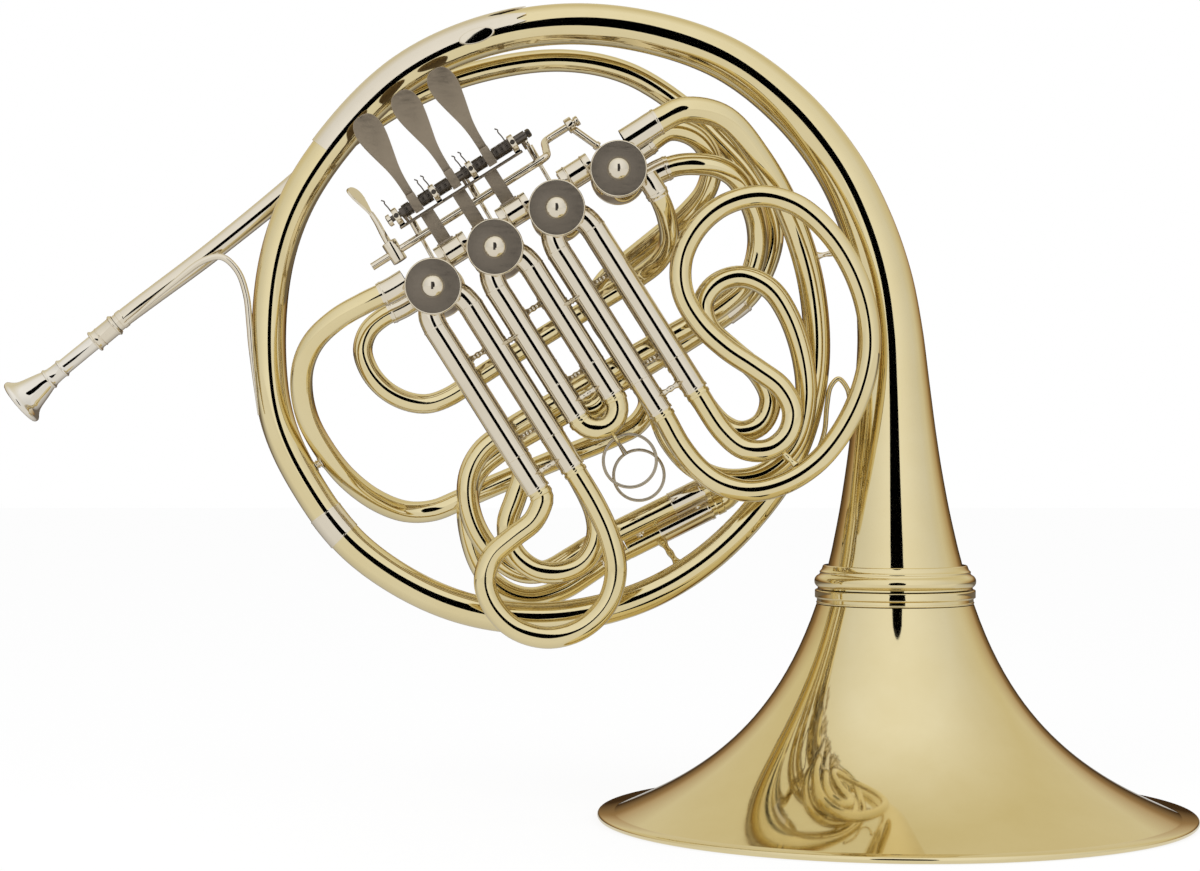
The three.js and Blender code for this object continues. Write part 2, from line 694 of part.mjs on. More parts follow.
function pullRing({ name, y, end }, apex, group) {
  const front = name.startsWith("f_");
  const radius = front ? 13.5 : 13;
  const hole = apex - LUG_RADIUS + 0.6;
  const ring = new THREE.TorusGeometry(radius, RING_WIRE, 6, 24).rotateX(Math.PI / 2);
  if (front) {
    add("pull_ring_1", closed(ring.translate(0, y, hole - radius)), silver, group);
    return;
  }
  const eye = new THREE.TorusGeometry(2.2, RING_WIRE, 6, 10).rotateX(Math.PI / 2).translate(0, y, hole - 2.2);
  const stem = bar([0, y, hole - 4.4], [0, y, hole - STEM], 1, 6);
  add("pull_ring_2", join(eye, stem, ring.translate(0, y, hole - STEM - radius + 0.5)), silver, group);
}

// ---------------------------------------------------------------- main tuning slide
function mainSlide() {
  const group = new THREE.Group();
  group.position.set(MAIN_X, MAIN_Y, MAIN_Z);
  group.rotation.y = -MAIN_ANGLE;
  horn.add(group);
  const leg = (y, z) => along.x(sleeve(LEG_BORE, LEG_RADIUS, 0, MAIN_LEG, 8)).translate(0, y, z);
  const ends = [[0, 0], [MAIN_DEPTH, MAIN_DROP]];
  const spread = Math.hypot(MAIN_DEPTH, MAIN_DROP);
  const inset = (LEG_BORE + 0.15) / spread;
  const tie = (x) =>
    bar([x, MAIN_DEPTH * inset, MAIN_DROP * inset], [x, MAIN_DEPTH * (1 - inset), MAIN_DROP * (1 - inset)], 2, 6);
  add("main_legs", join(leg(...ends[0]), leg(...ends[1]), tie(8), tie(MAIN_LEG - 6)), nickel, group);
  const [inside, outside] = [MAIN_LEG - 38, MAIN_LEG + MAIN_REACH];
  const turns = [...Array(13).keys()].map((i) => (Math.PI * i) / 12);
  const bend = turns.map((a) => {
    const part = (1 - Math.cos(a)) / 2;
    return [outside + (spread / 2) * Math.sin(a), MAIN_DEPTH * part, MAIN_DROP * part];
  });
  const path = new THREE.CurvePath();
  path.add(new THREE.LineCurve3(new THREE.Vector3(inside, 0, 0), new THREE.Vector3(outside, 0, 0)));
  path.add(smooth(bend));
  path.add(new THREE.LineCurve3(new THREE.Vector3(outside, MAIN_DEPTH, MAIN_DROP), new THREE.Vector3(inside, MAIN_DEPTH, MAIN_DROP)));
  add("main_slide", tube(new Route(path), SLIDE_RADIUS - 0.25, { wall: SLIDE_WALL }), brass, group);
}

// ---------------------------------------------------------------- branch tubes between the valves
const LEFT_BRANCH = [
  [-96.8, -28, 278.6], [-106.5, -28, 272.6], [-120, -28, 266], [-134, -27, 258], [-146, -24, 247], [-152, -20, 235],
  [-153.5, -15, 222], [-151, -8, 207], [-144, 1, 192], [-133, 12, 176.5], [-118, 25, 164], [-103, 34, 158],
  [-89, 37, 158.5], [-75, 37, 164], [-54, 37, 173], [-20, 37, 187], [6, 37, 197.5], [20, 37, 205], [26, 37, 216],
  [21, 37, 229], [9, 37, 247], [0, 37, 260], [-2.5, 36.5, 270.5], [3, 35.5, 281], [15, 32, 291], [31, 25, 303.5],
  [46, 17, 315.5], [56, 9, 328], near(48.6, 3, 8.7), near(40.6, -3.5, 19.7), near(26.6, -7.5, 23.2),
  near(14.2, -8, 15.3), near(4.1, -8, 8.5),
];
const MIDDLE_BRANCH = [
  [-92.3, 1, 271.4], [-102.4, 1, 265.3], [-113, 1, 260], [-120.5, 1, 253], [-123.5, 1, 243], [-120, 1, 232],
  [-112, 1, 222.5], [-101, 1, 216.5], [-90, 1, 215], [-79, 1, 218.5], [-60, 1, 231], [-28, 1, 251], [2, 1, 269.5],
  near(9.6, 0, -53.3), near(20.6, -3, -44.8), near(26.1, -10, -34.3), near(24.6, -19, -22.3), near(19.6, -27, -11.3),
  near(13.2, -28, -1.3),
];
const REAR_BRANCH = [
  near(11.8, -10, -3.8), near(21.6, -10, 1.7), near(30.6, -10.5, 4.7), near(40.6, -11, 5.2),
  near(51.6, -9.5, 3.7), near(60.6, -6, -1.3), [77, 1, 322],
  [82, 8, 309], [82.5, 12, 295], [77, 12.5, 279], [65, 12.5, 267.5], [48, 12.5, 257], [21, 12.5, 242],
  [-21, 12.5, 217.5], [-50, 12.5, 200], [-62, 12.5, 190.5], [-68.5, 12.5, 178], [-69, 12.5, 163], [-63.5, 12.5, 147],
  [-53, 12.5, 134], [-41, 12.5, 127], [-28, 12.5, 127.5], [-15, 12.5, 134.5], [-2.4, 13.2, 142.2], [10.6, 13.4, 148.8],
];

const left = new Route(smooth(LEFT_BRANCH));
const middle = new Route(smooth(MIDDLE_BRANCH));
const rear = new Route(smooth(REAR_BRANCH));

function branchTubes() {
  add("left_branch", clearOfValve(clearOfValve(tube(left, BRANCH_RADIUS), 0), 3), brass);
  add("middle_branch", clearOfValve(clearOfValve(tube(middle, SMALL_BRANCH_RADIUS), 0), 3), brass);
  add("rear_branch", clearOfValve(tube(rear, BRANCH_RADIUS), 3), brass);
}

// ---------------------------------------------------------------- lever work
// A spoon-shaped plate that stands up from the lever's hub.
function paddle() {
  const [neck, half] = [2.2, PADDLE_WIDTH / 2];
  const outline = new THREE.Shape();
  outline.moveTo(-neck, 0);
  outline.lineTo(neck, 0);
  outline.bezierCurveTo(neck, 18, half, 24, half, PADDLE_LENGTH - 11);
  outline.bezierCurveTo(half, PADDLE_LENGTH - 3, 4.4, PADDLE_LENGTH, 0, PADDLE_LENGTH);
  outline.bezierCurveTo(-4.4, PADDLE_LENGTH, -half, PADDLE_LENGTH - 3, -half, PADDLE_LENGTH - 11);
  outline.bezierCurveTo(-half, 24, -neck, 18, -neck, 0);
  const plate = new THREE.ExtrudeGeometry(outline, { depth: PADDLE_THICKNESS, bevelEnabled: false, curveSegments: 5 });
  return plate.translate(0, 0, -PADDLE_THICKNESS / 2).rotateX(Math.PI / 2 + PADDLE_TILT);
}

function fingerLever({ paddle: at, tail, hub }) {
  const barrel = along.x(sleeve(AXLE_RADIUS + GAP, HUB_RADIUS, hub[0], hub[1], 10));
  const plate = paddle().translate(at, 0, 0);
  const arm = block(1.6, TAIL_LENGTH, 3, tail, TAIL_LENGTH / 2, 0);
  const end = along.x(drum(EYE_RADIUS, tail - 0.8, tail + 0.8, 8)).translate(0, TAIL_LENGTH, 0);
  const axleHole = along.x(drum(AXLE_RADIUS + GAP, hub[0] - 1, hub[1] + 1, 10));
  return cut(join(barrel, plate, arm, end), axleHole);
}

// A straight rod with an eye at each end, from a lever's tail to the pin of a stop arm.
function link(topX, pinX, pinZ) {
  const top = along.x(drum(EYE_RADIUS, topX - 0.8, topX + 0.8, 8)).translate(0, TAIL_LENGTH, 0);
  const bottom = drum(EYE_RADIUS, TAIL_LENGTH - 1, TAIL_LENGTH + 0.8, 8).translate(pinX, 0, pinZ);
  const rod = bar([topX, TAIL_LENGTH, -1], [pinX, TAIL_LENGTH, pinZ + 1], LINK_RADIUS, 6);
  return join(top, rod, bottom);
}

function leverWork() {
  const axle = new THREE.Group();
  axle.position.set(0, AXLE_Y, AXLE_Z);
  deck.add(axle);
  const head = along.x(drum(3.2, -2.2, -0.2, 8));
  add("lever_axle", join(along.x(drum(AXLE_RADIUS, -1, 82.5, 10)), head), steel, axle);
  const pin = STOP_ARM_RADIUS * Math.SQRT1_2;
  FINGER_LEVERS.forEach((lever, k) => {
    add(`finger_lever_${k + 1}`, fingerLever(lever), satin, axle);
    add(`lever_spring_${k + 1}`, along.x(sleeve(HUB_RADIUS + GAP, HUB_RADIUS + 1.1, ...lever.spring, 10)), steel, axle);
    const topX = lever.tail + 1.6 + GAP;
    add(`valve_link_${k + 1}`, link(topX, k * VALVE_PITCH + pin, pin - AXLE_Z), nickel, axle);
  });
  add("lever_bridge", leverBridge(), nickel, axle);
}

// The bridge that carries the axle: four bearings on a bar, and three straps down to the valves.
function leverBridge() {
  const strapY = STRAP_Y - AXLE_Y;
  const railZ = -6;
  const bores = BEARINGS.map((x) => (x > 70 ? HUB_RADIUS + GAP : AXLE_RADIUS + GAP));
  const parts = [block(72.6, STRAP_THICKNESS, 3.4, 38.5, strapY, railZ)];
  BEARINGS.forEach((x) => {
    parts.push(along.x(drum(4.4, x - BEARING_WIDTH / 2, x + BEARING_WIDTH / 2, 10)));
    parts.push(block(BEARING_WIDTH, strapY, 4, x, strapY / 2 + 0.5, railZ + 2));
  });
  const feet = [PORT_OFFSET + PORT_RADIUS + 1.2 + GAP, CASING_RADIUS + 2 * GAP, PORT_OFFSET + PORT_RADIUS + 1.2 + GAP];
  STRAPS.forEach((x, i) => {
    const foot = feet[i] - AXLE_Z;
    parts.push(block(STRAP_WIDTH, STRAP_THICKNESS, railZ - foot, x, strapY, (railZ + foot) / 2));
    const lugY = ROD_Y - AXLE_Y;
    if (i !== 1) parts.push(along.x(drum(4.1, x - 2, x + 2, 10)).translate(0, lugY, ROD_Z - AXLE_Z));
  });
  const holes = BEARINGS.map((x, i) => along.x(drum(bores[i], x - 3, x + 3, 10)));
  holes.push(along.x(drum(ROD_RADIUS + GAP, 0, 70, 10)).translate(0, ROD_Y - AXLE_Y, ROD_Z - AXLE_Z));
  return cut(join(...parts), ...holes);
}

function thumbLever() {
  const path = new THREE.CurvePath();
  const corner = (x, y, z) => new THREE.Vector3(x, y, z);
  path.add(new THREE.LineCurve3(corner(-22, ROD_Y, ROD_Z), corner(81, ROD_Y, ROD_Z)));
  const elbows = [[81, ROD_Y, ROD_Z], [84.5, ROD_Y + 1, ROD_Z + 0.4], [87, 4.5, 32.6], [89.5, CRANK_Y - 1, CRANK_Z - 0.4], [93, CRANK_Y, CRANK_Z]];
  path.add(smooth(elbows));
  path.add(new THREE.LineCurve3(corner(93, CRANK_Y, CRANK_Z), corner(110, CRANK_Y, CRANK_Z)));
  const rod = tube(new Route(path), ROD_RADIUS, { wall: null, sides: 8 });
  const collar = along.x(drum(4.3, -12.5, -3.5, 10)).translate(0, ROD_Y, ROD_Z);
  const stemRoute = new Route(smooth([[-8, ROD_Y, ROD_Z], [-8.5, -7, 38], [-10.5, -3, 48], [-12, 0, 56]]));
  const stem = tube(stemRoute, 1.5, { wall: null, sides: 6 });
  const spoon = new THREE.SphereGeometry(1, 10, 8).scale(1.3, 6.5, 10).rotateZ(THREE.MathUtils.degToRad(30)).translate(-12.3, 1, 60);
  add("thumb_lever", join(rod, collar, stem, spoon), nickel, deck);
  const pin = STOP_ARM_RADIUS * Math.SQRT1_2;
  const ballX = 105;
  const ring = along.x(sleeve(ROD_RADIUS + GAP, 4.1, ballX - 2, ballX + 2, 10)).translate(0, CRANK_Y, CRANK_Z);
  const linkY = AXLE_Y + TAIL_LENGTH;
  const eye = drum(EYE_RADIUS, linkY - 1, linkY + 0.8, 8).translate(3 * VALVE_PITCH + pin, 0, pin);
  const rodEnd = bar([ballX + 0.6, CRANK_Y, CRANK_Z - 3.2], [3 * VALVE_PITCH + pin, linkY, pin + 1], LINK_RADIUS, 6);
  add("valve_link_4", join(ring, eye, rodEnd), nickel, deck);
}

// ---------------------------------------------------------------- stays
// A short round stay from a point on one tube's centre line to the nearest point of the bell
// branch, shaped to the walls of both tubes.
function ringStay(point, radius, wall) {
  const nearest = bellBranch.place(bellBranch.nearest(point), 0, 0);
  const ring = tube(bellBranch, (s) => tailRadius(s) + GAP, ringOptions);
  return cut(bar(point.toArray(), nearest.toArray(), radius, 8), ring, wall);
}

function stays() {
  add("guard_plate", guardPlate(), nickel);
  const onLeft = left.place(left.nearest(new THREE.Vector3(-141, 4, 187)), 0, 0);
  const leftWall = tube(left, BRANCH_RADIUS + GAP, { wall: null });
  add("ring_stay_left", ringStay(onLeft, 2.4, leftWall), nickel);
  const onLeg = new THREE.Vector3(16, MAIN_DEPTH, MAIN_DROP);
  onLeg.applyEuler(new THREE.Euler(0, -MAIN_ANGLE, 0)).add(new THREE.Vector3(MAIN_X, MAIN_Y, MAIN_Z));
  const lowWall = along.x(drum(LEG_RADIUS + GAP, -2, MAIN_LEG, 8)).translate(0, MAIN_DEPTH, MAIN_DROP);
  lowWall.rotateY(-MAIN_ANGLE).translate(MAIN_X, MAIN_Y, MAIN_Z);
  add("ring_stay_bottom", ringStay(onLeg, 1.8, lowWall), brass);
  const hook = new Route(smooth([[117.5, 0, 200], [118, 0, 214], [120, 0, 224], [124, 0, 228], [128.5, 0, 223], [130.5, 0, 213]]));
  add("hand_hook", tube(hook, 1.3, { wall: null, sides: 6 }), brass);
}

bell();
ringTubes();
mouthpiece();
leadTubes();
valves();
slides();
mainSlide();
branchTubes();
leverWork();
thumbLever();
stays();

export default horn;
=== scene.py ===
"""A full double french horn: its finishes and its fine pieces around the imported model.

Sizes are in millimetres until a mesh is made. X runs from the mouthpiece to the bell, Y is the depth
of the coil with the valve caps at -Y, and Z is up from the plane that the bell rim stands on.
"""

import bisect
import math

import bmesh
import bpy
from mathutils import Matrix, Vector


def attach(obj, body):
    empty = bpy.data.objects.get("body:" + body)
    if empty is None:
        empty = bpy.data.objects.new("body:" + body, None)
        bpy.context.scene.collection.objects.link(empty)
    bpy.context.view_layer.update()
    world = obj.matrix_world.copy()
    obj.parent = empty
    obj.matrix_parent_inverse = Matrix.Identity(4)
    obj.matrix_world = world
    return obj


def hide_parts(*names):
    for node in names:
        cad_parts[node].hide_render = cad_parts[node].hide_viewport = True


MM = 0.001
GAP = 0.3
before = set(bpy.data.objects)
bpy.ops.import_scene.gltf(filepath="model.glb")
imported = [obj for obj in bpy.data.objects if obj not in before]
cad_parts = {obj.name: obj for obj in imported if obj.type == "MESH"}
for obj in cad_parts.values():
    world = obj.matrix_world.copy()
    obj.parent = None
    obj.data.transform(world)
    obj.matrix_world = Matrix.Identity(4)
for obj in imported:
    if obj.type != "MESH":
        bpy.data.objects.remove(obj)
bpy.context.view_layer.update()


# ---------------------------------------------------------------- camera
def stand_camera():
    data = bpy.data.cameras.new("camera")
    data.sensor_width = 36
    data.lens = 80.77
    camera = bpy.data.objects.new("camera", data)
    camera.location = (0, -1.4, 0.1985)
    camera.rotation_euler = (math.radians(90), 0, 0)
    bpy.context.scene.collection.objects.link(camera)
    bpy.context.scene.camera = camera


stand_camera()


# ---------------------------------------------------------------- shader nodes
class Sum:
    """A shader socket that Python's arithmetic works on."""

    def __init__(self, nodes, socket):
        self.nodes, self.socket = nodes, socket

    def _math(self, operation, first, second):
        return self.nodes.add("ShaderNodeMath", {0: first, 1: second}, operation=operation)

    def __add__(self, other):
        return self._math("ADD", self, other)

    def __rsub__(self, other):
        return self._math("SUBTRACT", other, self)

    def __mul__(self, other):
        return self._math("MULTIPLY", self, other)

    def above(self, edge, soft):
        """0 below the edge and 1 above it, with a soft step."""
        values = {0: self, 1: edge - soft, 2: edge + soft, 3: 0.0, 4: 1.0}
        return self.nodes.add("ShaderNodeMapRange", values, clamp=True)


class Nodes:
    """Adds nodes to one material's or world's tree."""

    def __init__(self, tree):
        self.tree = tree
        tree.nodes.clear()

    def add(self, kind, values=None, output=0, **settings):
        node = self.tree.nodes.new(kind)
        for name, value in settings.items():
            setattr(node, name, value)
        for name, value in (values or {}).items():
            if isinstance(value, Sum):
                self.tree.links.new(value.socket, node.inputs[name])
            else:
                node.inputs[name].default_value = value
        return Sum(self, node.outputs[output]) if node.outputs else None

    def mix(self, factor, first, second):
        def tint(color):
            return (*color, 1) if isinstance(color, tuple) else color

        values = {0: factor, 6: tint(first), 7: tint(second)}
        return self.add("ShaderNodeMix", values, output=2, data_type="RGBA")

    def noise(self, scale, detail=3.0, stretch=(1, 1, 1)):
        place = self.add("ShaderNodeTexCoord", output=3)
        mapped = self.add("ShaderNodeMapping", {0: place, 3: stretch})
        values = {"Vector": mapped, "Scale": scale, "Detail": detail, "Roughness": 0.6}
        return self.add("ShaderNodeTexNoise", values)


def new_material(name):
    material = bpy.data.materials.new(name)
    material.use_nodes = True
    return material, Nodes(material.node_tree)


def metal(name, color, deep, rough, wear=0.0, coat=0.0, grain=0.0):
    """A polished or satin metal: cloudy colour, faint wipe marks, dull spots and fine grain."""
    material, nodes = new_material(name)
    cloud = nodes.noise(26, 4.0)
    wipes = nodes.noise(120, 5.0, stretch=(1, 1, 5))
    specks = nodes.noise(420, 2.0).above(0.66, 0.05)
    tint = nodes.mix(cloud.above(0.5, 0.22) * 0.55, color, deep)
    spotted = nodes.mix(specks * wear, tint, tuple(c * 0.6 for c in deep))
    roughness = wipes.above(0.52, 0.2) * (rough * 0.45) + specks * (wear * 0.3) + rough * 0.8
    height = wipes * 0.3 + nodes.noise(900, 3.0) * grain
    relief = {"Strength": 0.05 + 0.25 * grain, "Distance": 0.0002, "Height": height}
    bump = nodes.add("ShaderNodeBump", relief)
    values = {
        "Base Color": spotted,
        "Metallic": 1.0,
        "Roughness": roughness,
        "Normal": bump,
        "Coat Weight": coat,
        "Coat Roughness": 0.04,
    }
    surface = nodes.add("ShaderNodeBsdfPrincipled", values)
    nodes.add("ShaderNodeOutputMaterial", {0: surface})
    return material


def cork(name):
    """Dark pressed cork with pale crumbs."""
    material, nodes = new_material(name)
    crumbs = nodes.noise(1500, 4.0)
    tint = nodes.mix(crumbs.above(0.5, 0.1), (0.035, 0.03, 0.028), (0.12, 0.1, 0.085))
    bump = nodes.add("ShaderNodeBump", {"Strength": 0.5, "Distance": 0.0003, "Height": crumbs})
    values = {"Base Color": tint, "Roughness": 0.8, "Normal": bump}
    surface = nodes.add("ShaderNodeBsdfPrincipled", values)
    nodes.add("ShaderNodeOutputMaterial", {0: surface})
    return material


FINISH = {
    "brass": metal("lacquered yellow brass", (0.8, 0.695, 0.42), (0.74, 0.62, 0.33), 0.05, coat=0.25),
    "nickel": metal("polished nickel silver", (0.8, 0.735, 0.61), (0.72, 0.65, 0.52), 0.055, wear=0.05),
    "satin": metal("satin nickel silver", (0.37, 0.308, 0.232), (0.32, 0.268, 0.2), 0.4, wear=0.1, grain=0.6),
    "cap": metal("sanded cap faces", (0.235, 0.202, 0.162), (0.205, 0.176, 0.14), 0.46, wear=0.1, grain=0.8),
    "silver": metal("silver plate", (0.84, 0.8, 0.72), (0.76, 0.71, 0.62), 0.05, wear=0.03),
    "steel": metal("blued steel", (0.15, 0.13, 0.11), (0.09, 0.08, 0.07), 0.3, wear=0.2, grain=0.3),
    "wire": metal("drawn nickel wire", (0.52, 0.46, 0.36), (0.42, 0.36, 0.27), 0.08, wear=0.05),
    "cork": cork("cork and felt"),
}


# ---------------------------------------------------------------- places
def shift(x, y=0.0, z=0.0):
    return Matrix.Translation((x, y, z))


def swing(degrees, axis):
    return Matrix.Rotation(math.radians(degrees), 4, axis)


LEAN = 32.3
DECK = shift(-84.4, 0, 274) @ swing(-LEAN, "Y")  # the row of valves, leaning to the left
TO_DEPTH, TO_ROW = swing(-90, "X"), swing(90, "Y")
PITCH = 37  # from one valve to the next
F_LAYER, FLAT_LAYER = -30, -15
LEG_OFFSET = 10.5  # from a valve's middle to each of its slides' legs


def valve_place(k):
    return DECK @ shift(k * PITCH)


# ---------------------------------------------------------------- meshes
def mesh_object(name, mesh):
    mesh.set_sharp_from_angle(angle=math.radians(38))
    piece = bpy.data.objects.new(name, mesh)
    bpy.context.scene.collection.objects.link(piece)
    return piece


def from_bmesh(name, bm):
    bmesh.ops.remove_doubles(bm, verts=bm.verts, dist=1e-7)
    bmesh.ops.recalc_face_normals(bm, faces=bm.faces)
    for face in bm.faces:
        face.smooth = True
    mesh = bpy.data.meshes.new(name)
    bm.to_mesh(mesh)
    bm.free()
    return mesh_object(name, mesh)


def turned(name, profile, place, sides=64):
    """Turns a closed profile of (radius, height) about the Z axis of its place."""
    bm = bmesh.new()
    rings = []
    for radius, height in profile:
        count = 1 if radius < 1e-6 else sides
        angles = [2 * math.pi * i / sides for i in range(count)]
        points = [(radius * math.cos(a), radius * math.sin(a), height) for a in angles]
        rings.append([bm.verts.new(place @ Vector(p) * MM) for p in points])
    for lower, upper in zip(rings, rings[1:] + rings[:1]):
        if len(lower) == 1 and len(upper) == 1:
            continue
        for i in range(sides):
            corners = [lower[i % len(lower)], lower[(i + 1) % len(lower)]]
            corners += [upper[(i + 1) % len(upper)], upper[i % len(upper)]]
            unique = list(dict.fromkeys(corners))
            if len(unique) > 2:
                bm.faces.new(unique)
    return from_bmesh(name, bm)


def arc(center, height, radius, start, end, steps=6):
    """Points of a round corner or bead in a profile, by angles in degrees."""
    angles = [math.radians(start + (end - start) * i / steps) for i in range(steps + 1)]
    return [(center + radius * math.cos(a), height + radius * math.sin(a)) for a in angles]


def band(inner, outer, low, high, edge=0.5):
    """The profile of a plain sleeve with rounded outer edges."""
    return [
        (inner, low), (outer - edge, low), *arc(outer - edge, low + edge, edge, -90, 0, 3),
        *arc(outer - edge, high - edge, edge, 0, 90, 3), (inner, high),
    ]


def drum(radius, low, high, edge=0.3):
    """The profile of a solid disc or pin with rounded edges."""
    return [
        (0, low), *arc(radius - edge, low + edge, edge, -90, 0, 3),
        *arc(radius - edge, high - edge, edge, 0, 90, 3), (0, high),
    ]


def plate(name, outline, thickness, place, bevel=0.3, shape=None):
    """A flat plate from a 2-D outline, bevelled, and bent by shape(x, y, z) if given."""
    bm = bmesh.new()
    face = bm.faces.new([bm.verts.new((x, y, -thickness / 2)) for x, y in outline])
    top = bmesh.ops.extrude_face_region(bm, geom=[face])
    for vertex in (v for v in top["geom"] if isinstance(v, bmesh.types.BMVert)):
        vertex.co.z += thickness
    edges = [e for e in bm.edges if abs(e.verts[0].co.z - e.verts[1].co.z) < 1e-6]
    bmesh.ops.bevel(bm, geom=edges, offset=bevel, segments=3, affect="EDGES", profile=0.5)
    for vertex in bm.verts:
        point = Vector(shape(*vertex.co)) if shape else vertex.co
        vertex.co = place @ point * MM
    return from_bmesh(name, bm)


def block(name, size, center, place, bevel=0.25):
    """A bevelled block, by its size and middle."""
    half_x, half_y = size[0] / 2, size[1] / 2
    outline = [(-half_x, -half_y), (half_x, -half_y), (half_x, half_y), (-half_x, half_y)]
    return plate(name, outline, size[2], place @ shift(*center), bevel)


def joined(name, *pieces):
    """One object from several."""
    bm = bmesh.new()
    for piece in pieces:
        bm.from_mesh(piece.data)
        bpy.data.objects.remove(piece, do_unlink=True)
    mesh = bpy.data.meshes.new(name)
    bm.to_mesh(mesh)
    bm.free()
    return mesh_object(name, mesh)


# ---------------------------------------------------------------- geometry nodes
class Tree:
    """A geometry nodes tree with named inputs."""

    def __init__(self, name, sizes):
        self.tree = bpy.data.node_groups.new(name, "GeometryNodeTree")
        kinds = {float: "NodeSocketFloat", int: "NodeSocketInt", bpy.types.Material: "NodeSocketMaterial"}
        interface = self.tree.interface
        interface.new_socket("Geometry", in_out="OUTPUT", socket_type="NodeSocketGeometry")
        interface.new_socket("Geometry", in_out="INPUT", socket_type="NodeSocketGeometry")
        self.inputs = {}
        for label, kind in sizes.items():
            socket = interface.new_socket(label, in_out="INPUT", socket_type=kinds[kind])
            self.inputs[label] = socket.identifier
        self.given = self.tree.nodes.new("NodeGroupInput")

    def node(self, kind, values=None, **settings):
        node = self.tree.nodes.new(kind)
        for name, value in settings.items():
            setattr(node, name, value)
        for name, value in (values or {}).items():
            if isinstance(value, bpy.types.NodeSocket):
                self.tree.links.new(value, node.inputs[name])
            else:
                node.inputs[name].default_value = value
        return node.outputs

    def maths(self, operation, first, second=0.0):
        return self.node("ShaderNodeMath", {0: first, 1: second}, operation=operation)[0]

    def finish(self, geometry):
        material = self.given.outputs["Material"]
        real = self.node("GeometryNodeRealizeInstances", {0: geometry})[0]
        painted = self.node("GeometryNodeSetMaterial", {0: real, "Material": material})[0]
        self.node("NodeGroupOutput", {0: painted})

    def run(self, name, base, **sizes):
        """Evaluates the tree on a base object and gives the result as a plain mesh object."""
        modifier = base.modifiers.new("shape", "NODES")
        modifier.node_group = self.tree
        for label, value in sizes.items():
            modifier[self.inputs[label.replace("_", " ").capitalize()]] = value
        bpy.context.view_layer.update()
        evaluated = base.evaluated_get(bpy.context.evaluated_depsgraph_get())
        mesh = bpy.data.meshes.new_from_object(evaluated)
        bpy.data.objects.remove(base, do_unlink=True)
        mesh.name = name
        return mesh_object(name, mesh)


def tube_tree():
    """A tube with a wall: one ring of points for each point of the curve, out and back inside."""
    tree = Tree("Drawn tube", {"Wall": float, "Sides": int, "Material": bpy.types.Material})
    given = tree.given.outputs
    maths = tree.maths
    points = tree.node("GeometryNodeAttributeDomainSize", {0: given["Geometry"]}, component="CURVE")[0]
    sides = maths("ADD", given["Sides"], 1.0)
    rows = maths("ADD", maths("MULTIPLY", points, 2.0), 1.0)
    grid = tree.node("GeometryNodeMeshGrid", {"Vertices X": rows, "Vertices Y": sides})[0]
    index = tree.node("GeometryNodeInputIndex")[0]
    row = maths("FLOOR", maths("DIVIDE", maths("ADD", index, 0.5), sides))
    turn = maths("SUBTRACT", index, maths("MULTIPLY", row, sides))
    back = maths("SUBTRACT", maths("SUBTRACT", maths("MULTIPLY", points, 2.0), 1.0), row)
    outward = maths("LESS_THAN", row, maths("SUBTRACT", points, 0.5))
    last = maths("LESS_THAN", back, -0.5)
    outside = maths("MAXIMUM", outward, last)
    returning = maths("MULTIPLY", maths("SUBTRACT", 1.0, outward), back)
    there = maths("ADD", maths("MULTIPLY", outward, row), returning)
    station = maths("MAXIMUM", there, 0.0)
    angle = maths("MULTIPLY", maths("DIVIDE", turn, given["Sides"]), 2 * math.pi)

    def sampled(source, kind):
        values = {0: given["Geometry"], "Value": source, "Index": station}
        return tree.node("GeometryNodeSampleIndex", values, data_type=kind, domain="POINT")[0]

    place = sampled(tree.node("GeometryNodeInputPosition")[0], "FLOAT_VECTOR")
    normal = sampled(tree.node("GeometryNodeInputNormal")[0], "FLOAT_VECTOR")
    tangent = sampled(tree.node("GeometryNodeInputTangent")[0], "FLOAT_VECTOR")
    radius = sampled(tree.node("GeometryNodeInputRadius")[0], "FLOAT")
    inset = maths("MULTIPLY", given["Wall"], maths("SUBTRACT", 1.0, outside))
    reach = maths("SUBTRACT", radius, inset)

    def vectors(operation, values):
        return tree.node("ShaderNodeVectorMath", values, operation=operation)[0]

    across = vectors("CROSS_PRODUCT", {0: tangent, 1: normal})
    first = vectors("SCALE", {0: normal, "Scale": maths("MULTIPLY", reach, maths("COSINE", angle))})
    second = vectors("SCALE", {0: across, "Scale": maths("MULTIPLY", reach, maths("SINE", angle))})
    target = vectors("ADD", {0: place, 1: vectors("ADD", {0: first, 1: second})})
    bent = tree.node("GeometryNodeSetPosition", {0: grid, "Position": target})[0]
    whole = tree.node("GeometryNodeMergeByDistance", {0: bent, "Distance": 2e-6})[0]
    tree.finish(tree.node("GeometryNodeSetShadeSmooth", {0: whole})[0])
    return tree


def rod_tree():
    """A solid round rod along a curve, as thick as the curve's radius says."""
    tree = Tree("Drawn rod", {"Sides": int, "Material": bpy.types.Material})
    given = tree.given.outputs
    circle = tree.node("GeometryNodeCurvePrimitiveCircle", {"Resolution": given["Sides"], "Radius": 1.0})[0]
    thickness = tree.node("GeometryNodeInputRadius")[0]
    values = {0: given["Geometry"], 1: circle, "Scale": thickness, "Fill Caps": True}
    body = tree.node("GeometryNodeCurveToMesh", values)[0]
    tree.finish(tree.node("GeometryNodeSetShadeSmooth", {0: body})[0])
    return tree


